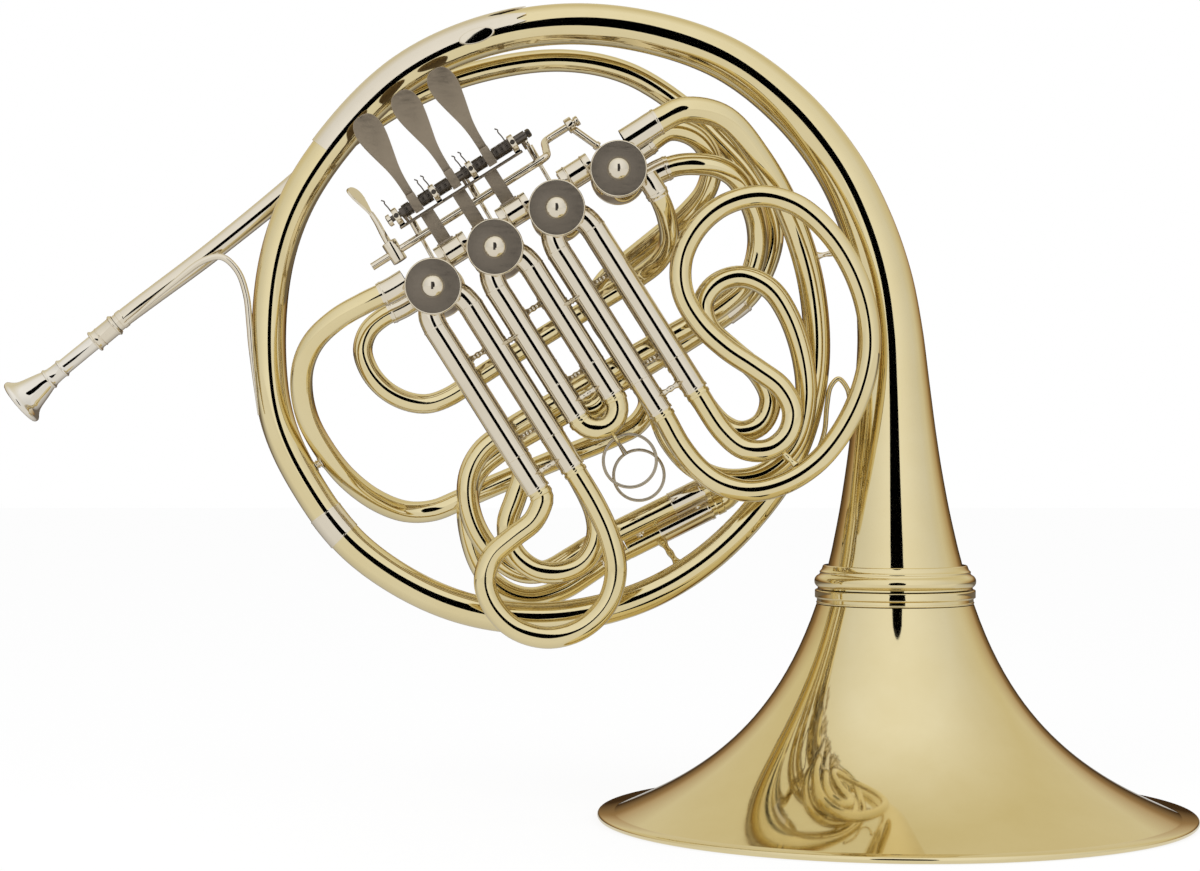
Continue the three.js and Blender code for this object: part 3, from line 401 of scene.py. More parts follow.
def coil_tree():
    """A helical spring about the Z axis."""
    sizes = {"Turns": float, "Coil radius": float, "Length": float, "Wire radius": float}
    tree = Tree("Coil spring", {**sizes, "Material": bpy.types.Material})
    given = tree.given.outputs
    values = {
        "Resolution": 18,
        "Rotations": given["Turns"],
        "Start Radius": given["Coil radius"],
        "End Radius": given["Coil radius"],
        "Height": given["Length"],
    }
    line = tree.node("GeometryNodeCurveSpiral", values)[0]
    wire = tree.node("GeometryNodeCurvePrimitiveCircle", {"Resolution": 6, "Radius": given["Wire radius"]})[0]
    body = tree.node("GeometryNodeCurveToMesh", {0: line, 1: wire, "Fill Caps": True})[0]
    tree.finish(tree.node("GeometryNodeSetShadeSmooth", {0: body})[0])
    return tree


TUBE, ROD, COIL = tube_tree(), rod_tree(), coil_tree()


def curve_object(points, radii):
    """A line through points, in millimetres, with a radius at each."""
    data = bpy.data.curves.new("line", "CURVE")
    data.dimensions = "3D"
    spline = data.splines.new("POLY")
    spline.points.add(len(points) - 1)
    for point, at, radius in zip(spline.points, points, radii):
        point.co = (*(Vector(at) * MM), 1)
        point.radius = radius * MM
    line = bpy.data.objects.new("line", data)
    bpy.context.scene.collection.objects.link(line)
    return line


class Route:
    """A tube's centre line, measured along its length."""

    def __init__(self, points, place=None):
        self.points = [Vector(p) for p in points]
        if place:
            self.points = [place @ p for p in self.points]
        self.marks = [0.0]
        for a, b in zip(self.points, self.points[1:]):
            self.marks.append(self.marks[-1] + (b - a).length)
        self.length = self.marks[-1]

    def at(self, distance):
        i = max(1, min(bisect.bisect_left(self.marks, distance), len(self.marks) - 1))
        span = self.marks[i] - self.marks[i - 1]
        part = (distance - self.marks[i - 1]) / span if span else 0
        return self.points[i - 1].lerp(self.points[i], part)

    def along(self, distance):
        return (self.at(distance + 0.5) - self.at(distance - 0.5)).normalized()

    def nearest(self, point):
        gaps = [(p - Vector(point)).length for p in self.points]
        return self.marks[gaps.index(min(gaps))]


def smooth(controls, steps=14):
    """A centripetal curve through control points."""
    points = [Vector(p) for p in controls]
    ends = [2 * points[0] - points[1], *points, 2 * points[-1] - points[-2]]
    line = [points[0]]
    for p0, p1, p2, p3 in zip(ends, ends[1:], ends[2:], ends[3:]):
        d0, d1, d2 = (math.sqrt((b - a).length) for a, b in ((p0, p1), (p1, p2), (p2, p3)))
        t1 = ((p1 - p0) / d0 - (p2 - p0) / (d0 + d1) + (p2 - p1) / d1) * d1
        t2 = ((p2 - p1) / d1 - (p3 - p1) / (d1 + d2) + (p3 - p2) / d2) * d1
        for k in range(1, steps + 1):
            t = k / steps
            bend = (-3 * p1 + 3 * p2 - 2 * t1 - t2) * t * t + (2 * p1 - 2 * p2 + t1 + t2) * t**3
            line.append(p1 + t1 * t + bend)
    return line


def ramp(table):
    """A size that runs straight between the (distance, size) pairs of a table."""
    def value(distance):
        for (s0, v0), (s1, v1) in zip(table, table[1:]):
            if distance <= s1:
                return v0 + (v1 - v0) * max(0, distance - s0) / (s1 - s0)
        return table[-1][1]

    return value


def pipe(name, route, radius, slot, start=0.0, end=None, wall=0.6, sides=28, step=2.2, sleeves=()):
    """A tube on a route. Sleeves are (from, to, extra radius) bands raised on its outside."""
    end = route.length if end is None else end
    size = radius if callable(radius) else lambda s: radius
    count = max(2, math.ceil((end - start) / step))
    places = [start + (end - start) * i / count for i in range(count + 1)]
    for low, high, _ in sleeves:
        places += [low - 0.02, low, low + 0.3, high - 0.3, high, high + 0.02]
    places = sorted(s for s in places if start <= s <= end)

    def swollen(s):
        extra = 0.0
        for low, high, more in sleeves:
            if low <= s <= high:
                extra = more * (0.6 if min(s - low, high - s) < 0.25 else 1)
        return size(s) + extra

    line = curve_object([route.at(s) for s in places], [swollen(s) for s in places])
    return TUBE.run(name, line, wall=wall * MM, sides=sides, material=FINISH[slot])


def rod(name, points, radius, slot, sides=14, place=None):
    """A solid rod through points, with one radius or one for each point."""
    placed = [place @ Vector(p) if place else Vector(p) for p in points]
    radii = radius if isinstance(radius, (list, tuple)) else [radius] * len(points)
    return ROD.run(name, curve_object(placed, radii), sides=sides, material=FINISH[slot])


def post(name, ends, shape, slot="nickel", sides=24, place=None):
    """A turned post between two points. Its shape is the radii of one half, the middle last."""
    radii = shape + shape[-2::-1]
    a, b = (Vector(p) for p in ends)
    steps = [a.lerp(b, i / (len(radii) - 1)) for i in range(len(radii))]
    return rod(name, steps, radii, slot, sides, place)


def fit(piece, body, slot, *nodes, finish=None):
    """Gives a piece its finish, its body and the solids that it stands for."""
    piece.data.materials.clear()
    piece.data.materials.append(FINISH[finish or slot])
    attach(piece, body)
    if nodes:
        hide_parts(*nodes)


# ---------------------------------------------------------------- bell
BELL = shift(153.4)
RIM_RADIUS, BEND, SHARPNESS = 155, 93, 1.7
SCREW = 37.6  # radius of the neck inside the screw rings
NECK, NECK_TOP = 111.4, 125


def flare_radius(height):
    return RIM_RADIUS * (BEND / (BEND + height)) ** SHARPNESS


def make_bell():
    low, high, rows = 3.2, 111, 46
    heights = [low * (high / low) ** (i / rows) for i in range(rows + 1)]
    skin = [(flare_radius(h), h) for h in heights]
    lining = [(flare_radius(h) - 0.75, h - 0.25) for h in reversed(heights)]
    bead = arc(153.25, 1.7, 1.7, -165, 62, 16)
    neck = [(SCREW, NECK)]
    for thread in range(9):
        neck += [(SCREW, 112.6 + thread * 1.3), (SCREW - 0.35, 113.25 + thread * 1.3)]
    neck += [(SCREW, NECK_TOP), (SCREW - 0.6, NECK_TOP), (SCREW - 0.6, 112)]
    flare = turned("flare", [*bead, *skin, *neck, *lining], BELL, 144)
    fit(flare, "bell", "brass", "bell_flare")
    lower = [
        (SCREW + 0.3, 111.3), (40.5, 111.3), *arc(40.3, 111.9, 0.6, -60, 60, 4), (40.5, 113.9),
        (40.9, 114.2), *arc(41.0, 114.9, 0.6, -60, 20, 4), (41.62, 117.6), *arc(41.0, 117.9, 0.6, 0, 90, 4),
        (SCREW + 0.3, 118.5),
    ]
    fit(turned("flare_ring", lower, BELL, 120), "bell", "brass", "bell_ring_lower")
    upper = [
        (SCREW + 0.6, 119.1), (40.2, 119.1), *arc(38.35, 122.9, 3.5, -62, 62, 18), (39.2, 126.5),
        *arc(38.4, 127.6, 0.75, -40, 70, 6), (38.0, 129.1), (37.4, 130.9), (36.9, 131.2), (35.9, 131.2),
        (35.9, 127.1), (SCREW + 0.6, 126.2),
    ]
    fit(turned("tail_ring", upper, BELL, 120), "horn", "brass", "bell_ring_upper")


TAIL = Route(smooth([
    (153.4, 0, 129), (152.8, 0, 170), (152, 0, 222), (150.8, 0, 252), (146.9, 0, 280), (137.8, 0, 310),
    (123.4, 0, 339), (99.1, 0, 369), (66, 0, 394), (24, 0, 408.5), (-20, 0, 412.4), (-63.6, 0, 404.6),
    (-102.1, 0, 386), (-136, 0, 353), (-160, 0, 315), (-171, 0, 272), (-168.6, 0, 210), (-150.5, 0, 170),
    (-124.5, 0, 138), (-80.5, 0, 112), (-35, 0, 103.5), (13.5, 0, 111.5), (49, 0, 129.5), (79, 0, 157),
    (101, 0, 190), (112, 0, 232), (110, 0, 276), (98, -4, 314), (82, -14, 341), (63, -24, 361),
    (43, -28, 364.5), (30.5, -28, 359), (20.7, -28, 352.9), (12.9, -28, 348.0),
]))
tail_radius = ramp([
    (0, 35.3), (20, 30.3), (41, 26.5), (66, 22.6), (93, 19.6), (123, 16.8), (153, 15.2), (185, 13.8),
    (218, 12.8), (290, 11.5), (380, 10.6), (480, 9.8), (600, 9), (760, 8.7), (900, 8.1), (1040, 7.2),
    (1150, 6.8), (1300, 6.5),
])
FERRULE = (729, 745)


def eased_tail(s):
    """The tail's radius without corners between the sizes that it is made to."""
    reach = min(16, s) if s < 260 else 30
    return sum(tail_radius(s + reach * k / 3) for k in range(-3, 4)) / 7


def make_ring():
    start, end = FERRULE
    seam = (start + end) / 2
    tail = pipe("tail", TAIL, eased_tail, "brass", end=seam - GAP / 2, sides=56, step=3.4)
    fit(tail, "horn", "brass", "bell_tail")
    lines = [(start + 0.1, start + 0.9, 0.12), (end - 0.9, end - 0.1, 0.12)]
    sleeve = pipe(
        "ferrule", TAIL, lambda s: eased_tail(s) + 0.3, "nickel", start, end, wall=0.5, sides=48, step=1,
        sleeves=lines,
    )
    fit(sleeve, "horn", "nickel", "tail_ferrule")
    branch = pipe("branch", TAIL, eased_tail, "brass", start=seam + GAP / 2, sides=40, step=3)
    fit(branch, "horn", "brass", "bell_branch")
    end = TAIL.length
    line = (end - 19.8, end - 18.6, 0.25)
    ferrule = pipe("branch_ferrule", TAIL, 6.95, "nickel", end - 20, end, wall=0.4, sleeves=[line])
    fit(ferrule, "horn", "nickel")


def guard_edge(across):
    """How far the guard's pointed end is cut back, at a place across it from -1 to 1."""
    out = abs(across)
    if out >= 0.98:
        return 44
    between = 34 * abs(1 - 2 * abs(across - 0.02)) if out < 0.5 else 42 * (2 * out - 1)
    return max(20 * (1 - abs(2 * out - 1)), between)


def make_guard():
    """A thin hand guard wrapped on the ring's outer face, with two points at one end."""
    start, end, rows, columns = 388, 528, 70, 30
    middle, spread = -128, 62  # degrees round the ring's tube
    depth = Vector((0, 1, 0))
    bm = bmesh.new()
    sheets = []
    for lift in (0.35, 0.75):
        grid = []
        for i in range(rows + 1):
            line = []
            for j in range(columns + 1):
                across = 2 * j / columns - 1
                first = start + guard_edge(across)
                s = first + (end - first) * i / rows
                angle = math.radians(middle + spread * across)
                out = depth * math.cos(angle) + TAIL.along(s).cross(depth) * math.sin(angle)
                line.append(bm.verts.new((TAIL.at(s) + out * (eased_tail(s) + lift)) * MM))
            grid.append(line)
        sheets.append(grid)
    inner, outer = sheets
    for i in range(rows):
        for j in range(columns):
            bm.faces.new((outer[i][j], outer[i + 1][j], outer[i + 1][j + 1], outer[i][j + 1]))
            bm.faces.new((inner[i][j + 1], inner[i + 1][j + 1], inner[i + 1][j], inner[i][j]))
    for i in range(rows):
        for j in (0, columns):
            bm.faces.new((inner[i][j], inner[i + 1][j], outer[i + 1][j], outer[i][j]))
    for j in range(columns):
        for i in (0, rows):
            bm.faces.new((inner[i][j], inner[i][j + 1], outer[i][j + 1], outer[i][j]))
    fit(from_bmesh("guard", bm), "horn", "nickel", "guard_plate")
    s = TAIL.nearest((-63, 0, 404))
    forward, front = TAIL.along(s), Vector((0, -1, 0))
    lay = Matrix((forward, front.cross(forward), front)).transposed().to_4x4()
    place = shift(*(TAIL.at(s) + front * (eased_tail(s) + 1.6))) @ lay
    lug = turned("guard_lug", drum(5, -0.9, 0.7, 0.6), place @ Matrix.Diagonal((1.9, 0.75, 1, 1)), 48)
    fit(lug, "horn", "nickel")


# ---------------------------------------------------------------- mouthpiece and leadpipe
AXIS = Vector((0.773, 0, 0.634)).normalized()
RIM = Vector((-302, 0, 215))
LEAD = Route(smooth([
    RIM + AXIS * 65.8, RIM + AXIS * 71.5, (-233, 2, 271), (-204.5, 6, 293), (-157.5, 13, 332.5),
    (-136.5, 16, 352), (-105, 17.5, 373.5), (-66, 18, 389.5), (-21, 18, 396), (14, 18, 389.5),
    (44, 18, 371), (62, 20, 354), (77, 22, 338), (88, 24.5, 320), (91.5, 24.5, 305), (88, 24.5, 289),
    (79, 24.5, 273), (65, 24.5, 261.5), (27, 24.5, 237), (-21, 24.5, 209), (-53, 24.5, 190),
    (-65, 24.5, 179), (-70, 24.5, 163), (-68, 24.5, 143), (-61, 24.5, 126), (-50, 24.5, 116),
    (-36, 24.5, 112.5), (-20, 24.5, 117), (-5.5, 24.5, 126), (4, 25.3, 132.6), (14.3, 25.4, 138.6),
]))
NICKEL_END = 155
lead_radius = ramp([(0, 4.6), (60, 5.2), (NICKEL_END, 6), (340, 5.9), (470, 5.75)])


def make_mouthpiece():
    place = shift(*RIM) @ Vector((0, 0, 1)).rotation_difference(AXIS).to_matrix().to_4x4()
    cup = [
        (2.4, 64), (2.25, 40), (2.2, 22), (2.8, 19), (3.6, 16.8), (4.8, 13), (6.1, 9.2), (7.3, 5.8),
        (8.3, 2.9), (9.1, 1.1),
    ]
    rim = [(9.6, 0.35), (10.2, 0), (11.4, 0), (12.1, 0.25), (12.55, 0.8)]
    outside = [
        (12.7, 1.5), (12.6, 2.3), (12.0, 3.0), (11.2, 3.7), (10.1, 4.9), (9.1, 6.4), (8.4, 8.3),
        (7.7, 10.8), (6.9, 13.8), (6.1, 16.6), (5.4, 18.8), *arc(5.0, 20.2, 0.75, -70, 70, 5), (4.75, 22.2),
        (4.5, 25.5), (4.45, 27.6), *arc(4.5, 29, 0.6, -70, 70, 5), (4.15, 30.6), (4.05, 50), (3.75, 64),
    ]
    fit(turned("mouthpiece_turned", [*rim, *outside, *cup], place, 80), "mouthpiece", "silver", "mouthpiece")
    socket = [
        (4.5, 50.5), *arc(5.45, 51.2, 0.65, -100, 80, 8), (5.15, 52.6), (5.1, 54.4),
        *arc(5.1, 55, 0.35, -80, 80, 4), (5.1, 62.6), *arc(5.3, 64.2, 0.7, -80, 60, 6), (5.2, 65.5),
        (4.5, 65.5),
    ]
    fit(turned("receiver_turned", socket, place, 60), "horn", "nickel", "receiver")


def make_leadpipe():
    bands = [(2, 5, 0.35), (NICKEL_END - 16, NICKEL_END - 0.6, 0.35)]
    end = NICKEL_END - GAP / 2
    nickel = pipe("leadpipe_drawn", LEAD, lead_radius, "nickel", end=end, sides=36, sleeves=bands)
    fit(nickel, "horn", "nickel", "leadpipe")
    branch = pipe("leadpipe_over", LEAD, lead_radius, "brass", start=NICKEL_END + GAP / 2, sides=32)
    fit(branch, "horn", "brass", "leadpipe_branch")
    ferrules = []
    for start, end in ((470, 482), (LEAD.length - 16, LEAD.length - 4)):
        line = (start + 0.5, start + 1.5, 0.25)
        ferrules.append(pipe("ferrule", LEAD, 6.35, "nickel", start, end, wall=0.5, sleeves=[line]))
    fit(joined("leadpipe_ferrules", *ferrules), "horn", "nickel")
    stay = smooth([
        (-246, -5.2, 256), (-222, -4, 277), (-205, -4, 289.5), (-196, -4, 291), (-188, -4.4, 284),
        (-183.5, -4.6, 272), (-181.4, -6, 256), (-179.8, -7.6, 238), (-176.5, -8.6, 209),
    ], 8)
    count = len(stay)
    radii = [1.7 * min(1, 0.25 + 4 * min(i, count - 1 - i) / count) for i in range(count)]
    fit(rod("leadpipe_stay_drawn", stay, radii, "nickel", 20), "horn", "nickel", "leadpipe_stay")


# ---------------------------------------------------------------- valves
STOPS = (-8, 98)  # where the stop arm meets its corks, in degrees


def make_valve(k):
    place = valve_place(k) @ TO_DEPTH
    shell = [
        (12.3, -38), (13.9, -38), *arc(14.15, -37.2, 0.35, -90, 60, 3), (13.8, -36.4), (13.75, -35.6),
        (13.9, -35.2), (13.9, 5.8), *arc(14.0, 6.8, 0.45, -60, 60, 4), (13.75, 8.2),
        *arc(13.1, 9.2, 0.8, 0, 90, 4), (4.6, 10), (4.4, 10.9), (2.95, 10.9), (2.95, 8), (12.3, 8),
    ]
    parts = [turned("shell", shell, place, 72)]
    if k < 3:
        for y in (F_LAYER, FLAT_LAYER):
            span = PITCH - 2 * 9.5
            lane = valve_place(k) @ shift(9.6, y, LEG_OFFSET) @ TO_ROW
            profile = [
                (4.7, 0), (6.2, 0), (6.2, 3.2), *arc(6.2, 3.8, 0.35, -70, 70, 4), (5.95, 4.5),
                (5.95, span - 4.5), *arc(6.2, span - 3.8, 0.35, -70, 70, 4), (6.2, span - 3.2),
                (6.2, span - 0.4), (4.7, span - 0.4),
            ]
            parts.append(turned("lane", profile, lane, 36))
    fit(joined(f"casing_{k + 1}", *parts), "horn", "nickel", f"valve_casing_{k + 1}")
    screws = []
    for i in range(3):
        angle = math.radians(60 + 120 * i)
        at = place @ shift(8.4 * math.cos(angle), 8.4 * math.sin(angle), 10)
        head = [(0, 0), (1.5, 0), *arc(0.9, 0.7, 0.6, 0, 90, 3), (0, 1.3)]
        screws.append(turned("screw", head, at, 20))
    fit(joined(f"casing_screws_{k + 1}", *screws), "horn", "steel")
    pads = []
    for angle in map(math.radians, STOPS):
        at = valve_place(k) @ shift(10.4 * math.sin(angle), 12.2, 10.4 * math.cos(angle))
        pads.append(turned("pad", drum(1.7, -1.9, 1.9, 0.4), at @ TO_DEPTH, 20))
    fit(joined(f"stop_corks_{k + 1}", *pads), "horn", "steel", finish="cork")


def make_cap(k):
    """A sanded cap face in a bright rim, with a domed and slotted screw in its middle."""
    place = valve_place(k) @ TO_DEPTH
    back, front = -38.3, -42
    face = [
        (0, back), (13.6, back), (13.6, front + 0.2), (7.0, front + 0.25), (6.6, front + 0.1),
        (0, front + 0.1),
    ]
    cap = turned(f"cap_{k + 1}", face, place, 84)
    fit(cap, "horn", "satin", f"valve_cap_{k + 1}", finish="cap")
    edge = [
        (13.65, back), (13.95, back), *arc(14.05, back - 0.6, 0.35, 80, -10, 4), (14.4, front + 0.75),
        (14.3, front + 0.55), (13.95, front + 0.15), (13.8, front + 0.1), (13.65, front + 0.25),
    ]
    bright = turned("cap_rim", edge, place, 84)
    dome = [(0, front + 0.1), (6.1, front + 0.1), (6.1, front - 0.4), *arc(0, front + 2.6, 6.7, -30, -90, 14)]
    knob = turned("cap_dome", [(max(0, r), h) for r, h in dome], place, 56)
    fit(joined(f"cap_bright_{k + 1}", bright, knob), "horn", "nickel")
    upright = valve_place(k) @ swing(LEAN, "Y") @ shift(0, front - 4.1) @ swing(90, "X")
    outline = [(-0.6, -1.9), (0.6, -1.9), (0.6, 1.9), (-0.6, 1.9)]
    fit(plate(f"cap_slot_{k + 1}", outline, 0.5, upright, 0.1), "horn", "steel")


# ---------------------------------------------------------------- valve slides
ENGAGEMENT = 62  # how far a slide's tubes reach up into its legs
SLIDE_RADIUS, EYE = 5.65, 2.3
SLIDES = [
    {
        "name": "f_slide_1", "valve": 0, "y": F_LAYER, "end": -116,
        "crook": [
            (-12.2, -122), (-21, -127.5), (-34, -129), (-48, -131.5), (-58, -140), (-61.5, -153), (-58, -169),
            (-46, -182), (-29, -187), (-11.5, -183), (1, -171.5), (7.5, -155), (10, -138),
        ],
    },
    {"name": "f_slide_2", "valve": 1, "y": F_LAYER, "end": -95.5, "crook": []},
    {
        "name": "f_slide_3", "valve": 2, "y": F_LAYER, "end": -116,
        "crook": [
            (-11.3, -135), (-9.5, -150), (-4, -163), (7, -174), (23, -179.5), (42, -179.5), (61, -173.5),
            (80, -162), (96, -146), (106, -127), (111, -105), (110.5, -83), (104, -63), (91, -49.5),
            (73, -43.5), (55, -46), (40, -55.5), (31.5, -70), (30.5, -88), (35, -106), (42.5, -123),
            (48, -138), (46.5, -151), (38, -159.5), (26, -161), (15.5, -154), (11, -141),
        ],
    },
    {
        "name": "flat_slide_1", "valve": 0, "y": FLAT_LAYER, "end": -96,
        "crook": [
            (-13.5, -105), (-23, -113), (-33.5, -122), (-38.5, -135), (-34.5, -149), (-24, -157.5),
            (-11, -159.5), (1, -153), (8, -140),
        ],
    },
    {"name": "flat_slide_2", "valve": 1, "y": FLAT_LAYER, "end": -84, "crook": []},
    {
        "name": "flat_slide_3", "valve": 2, "y": FLAT_LAYER, "end": -98,
        "crook": [
            (-11.5, -114), (-14, -130), (-11, -148), (-1, -162), (17, -170.5), (38, -167), (55, -152),
            (66, -132), (72, -108), (71, -91), (62, -78.5), (49, -75), (38, -80), (34, -92), (38, -108),
            (43, -126), (41, -140), (31, -148), (20, -146.5), (13, -137),
        ],
    },
]


def slide_line(slide):
    """The slide's centre line in its valve's frame, from one leg's top to the other's."""
    y, end = slide["y"], slide["end"]
    top = end + ENGAGEMENT
    if slide["crook"]:
        inner = [(-LEG_OFFSET, y, end), (-LEG_OFFSET, y, end - 4)]
        inner += [(x, y, z) for x, z in slide["crook"]]
        inner += [(LEG_OFFSET, y, end - 4), (LEG_OFFSET, y, end)]
        bend = smooth(inner, 8)
    else:
        turns = [math.pi + math.pi * i / 24 for i in range(25)]
        bend = [Vector((LEG_OFFSET * math.cos(a), y, end - 1 + LEG_OFFSET * math.sin(a))) for a in turns]
    return [Vector((-LEG_OFFSET, y, top)), *bend, Vector((LEG_OFFSET, y, top))]


def make_slide(slide):
    """A slide's crook with its ferrules, and an eye for the pull ring on the short ones."""
    place = valve_place(slide["valve"])
    y, end, name = slide["y"], slide["end"], slide["name"]
    route = Route(slide_line(slide), place)
    first, last = ENGAGEMENT, route.length - ENGAGEMENT
    sleeves = [(first + 0.8, first + 3, 0.55), (last - 3, last - 0.8, 0.55)]
    parts = [pipe("drawn", route, SLIDE_RADIUS, "brass", wall=0.5, sleeves=sleeves)]
    if not slide["crook"]:
        center = end - 1 - LEG_OFFSET - SLIDE_RADIUS - EYE + 0.6
        turns = [2 * math.pi * i / 20 for i in range(21)]
        loop = [(0, y + EYE * math.sin(a), center + EYE * math.cos(a)) for a in turns]
        parts.append(rod("eye", loop, 0.8, "nickel", 10, place))
    if name == "f_slide_3":
        parts.append(tie_post([(31, y, -165), (33, y, -174.5)], place))
    fit(joined(f"{name}_drawn", *parts), name, "brass", name)
    make_legs(slide, place)


def tie_post(ends, place):
    """A small turned post with a waist, between two tubes."""
    return post("post", ends, [2.2, 1.7, 1.4, 1.25, 1.5, 1.7], sides=18, place=place)


def diamond(center, y, place, spread=2 * LEG_OFFSET, middle=0.0):
    """The pair of pointed flanges that wrap two neighbouring tubes at a post's ends."""
    half = [(-3, 0), (-0.8, -2.5), (0.9, -3.4), (3.2, -1.9), (6.9, 0), (3.2, 1.9), (0.9, 3.4), (-0.8, 2.5)]
    parts = []
    for side in (-1, 1):

        def wrapped(around, along_tube, depth):
            reach = 6.45 + depth * side
            angle = side * around / 6.5
            x = middle + side * (spread / 2 - reach * math.cos(angle))
            return (x, y - reach * math.sin(angle), center + along_tube)

        outline = [(x * side, z) for x, z in half]
        parts.append(plate("flange", outline if side > 0 else outline[::-1], 0.5, place, 0.12, wrapped))
    return parts


def make_legs(slide, place):
    """The nickel outer legs with their bent tops, bands, post and pointed flanges."""
    y, end = slide["y"], slide["end"]
    parts = []
    for side in (-1, 1):
        start = Vector((side * 7.6, y, -8.5))
        x = side * LEG_OFFSET
        top = smooth([start, (side * 9.4, y, -11.5), (x, y, -17), (x, y, -24)], 6)
        route = Route([*top, Vector((x, y, end + GAP))], place)
        length = route.length
        bands = [(length - 1.6, length, 0.3), (length - 20, length - 19.2, 0.22), (10, 10.7, 0.22)]
        parts.append(pipe("leg", route, 6.3, "nickel", wall=0.35, sleeves=bands))
    for z in (end + 8,) if y == F_LAYER else (end * 0.42, end + 8):
        parts.append(tie_post([(-4.3, y, z), (4.3, y, z)], place))
        parts += diamond(z, y, place)
    if y == F_LAYER and slide["valve"] < 2:
        middle, z = PITCH / 2, -43.4
        parts.append(tie_post([(middle - 1.8, y, z), (middle + 1.8, y, z)], place))
        parts += diamond(z, y, place, PITCH - 2 * LEG_OFFSET, middle)
    name = slide["name"].replace("slide", "legs")
    fit(joined(f"{name}_drawn", *parts), "horn", "nickel", name)


def make_pull_rings():
    place = valve_place(1)
    turns = [2 * math.pi * i / 64 for i in range(65)]

    def loop(name, radius, y, z, wire):
        points = [(radius * math.sin(a), y, z + radius * math.cos(a)) for a in turns]
        return rod(name, points, wire, "wire", 14, place)

    hole = -114.35
    front = loop("front_ring_wire", 13.5, F_LAYER, hole - 13.5, 0.82)
    fit(front, "front_ring", "nickel", "pull_ring_1", finish="wire")
    hole = -102.85
    low = hole - 21.5
    heights = (hole - 4.4, low + 6, low)
    stem = rod("stem", [(0, FLAT_LAYER, z) for z in heights], [0.9, 1.0, 1.5], "wire", 14, place)
    eye, ring = loop("eye", 2.2, FLAT_LAYER, hole - 2.2, 0.9), loop("ring", 13, FLAT_LAYER, low - 12.5, 0.8)
    fit(joined("back_ring_wire", eye, stem, ring), "back_ring", "nickel", "pull_ring_2", finish="wire")


# ---------------------------------------------------------------- main tuning slide
MAIN = shift(11, 13.4, 149) @ swing(-26.3, "Y")
MAIN_LEG, MAIN_DROP, MAIN_DEPTH = 48, -10.7, 12


def make_main_slide():
    """Two brass tubes ending in nickel sleeves, and the slide that joins them with a round bow."""
    parts, tubes = [], []
    for y, z, sleeve in ((0, 0, 31), (MAIN_DEPTH, MAIN_DROP, 19)):
        route = Route([(-1.4, y, z), (MAIN_LEG / 2, y, z), (MAIN_LEG, y, z)], MAIN)
        end = route.length
        tubes.append(pipe("tube", route, 6.0, "brass", end=sleeve + 2, wall=0.5, step=0.8))
        bands = [(sleeve + 0.1, sleeve + 0.9, 0.15), (end - 2, end, 0.25)]
        parts.append(pipe("sleeve", route, 6.35, "nickel", start=sleeve, wall=0.45, step=0.8, sleeves=bands))
    fit(joined("main_legs_tubes", *tubes), "horn", "brass")
    spread = math.hypot(MAIN_DEPTH, MAIN_DROP)
    inset = 6.1 / spread
    for x in (8, MAIN_LEG - 6):
        ends = [(x, MAIN_DEPTH * t, MAIN_DROP * t) for t in (inset, 1 - inset)]
        parts.append(tie_post(ends, MAIN))
    fit(joined("main_legs_drawn", *parts), "horn", "nickel", "main_legs")
    outside, inside = MAIN_LEG + 7, MAIN_LEG - 38
    bend = []
    for a in (math.pi * i / 24 for i in range(25)):
        part = (1 - math.cos(a)) / 2
        bend.append((outside + spread / 2 * math.sin(a), MAIN_DEPTH * part, MAIN_DROP * part))
    route = Route([(inside, 0, 0), *bend, (inside, MAIN_DEPTH, MAIN_DROP)], MAIN)
    total = route.length
    bands = [(40, 44.5, 0.5), (total - 44.5, total - 40, 0.5)]
    slide = pipe("main_slide_drawn", route, 5.4, "brass", wall=0.5, sleeves=bands)
    fit(slide, "main_slide", "brass", "main_slide")


# ---------------------------------------------------------------- branches
LEFT = [
    (-98.8, -28, 277.3), (-106.5, -28, 272.6), (-120, -28, 266), (-134, -27, 258), (-146, -24, 247),
    (-152, -20, 235), (-153.5, -15, 222), (-151, -8, 207), (-144, 1, 192), (-133, 12, 176.5),
    (-118, 25, 164), (-103, 34, 158), (-89, 37, 158.5), (-75, 37, 164), (-54, 37, 173), (-20, 37, 187),
    (6, 37, 197.5), (20, 37, 205), (26, 37, 216), (21, 37, 229), (9, 37, 247), (0, 37, 260),
    (-2.5, 36.5, 270.5), (3, 35.5, 281), (15, 32, 291), (31, 25, 303.5), (46, 17, 315.5), (56, 9, 328),
    (58, 3, 342), (50, -3.5, 353), (36, -7.5, 356.5), (23.6, -8, 348.6), (16.5, -8, 343.8),
]
MIDDLE = [
    (-96.3, 1, 269), (-102.4, 1, 265.3), (-113, 1, 260), (-120.5, 1, 253), (-123.5, 1, 243), (-120, 1, 232),
    (-112, 1, 222.5), (-101, 1, 216.5), (-90, 1, 215), (-79, 1, 218.5), (-60, 1, 231), (-28, 1, 251),
    (2, 1, 269.5), (19, 0, 280), (30, -3, 288.5), (35.5, -10, 299), (34, -19, 311), (29, -27, 322),
    (23.4, -28, 330.6),
]
REAR = [
    (22.6, -10, 330.3), (31, -10, 335), (40, -10.5, 338), (50, -11, 338.5), (61, -9.5, 337), (70, -6, 332),
    (77, 1, 322), (82, 8, 309), (82.5, 12, 295), (77, 12.5, 279), (65, 12.5, 267.5), (48, 12.5, 257),
    (21, 12.5, 242), (-21, 12.5, 217.5), (-50, 12.5, 200), (-62, 12.5, 190.5), (-68.5, 12.5, 178),
    (-69, 12.5, 163), (-63.5, 12.5, 147), (-53, 12.5, 134), (-41, 12.5, 127), (-28, 12.5, 127.5),
    (-15, 12.5, 134.5), (-2.4, 13.2, 142.2), (10.6, 13.4, 148.8),
]


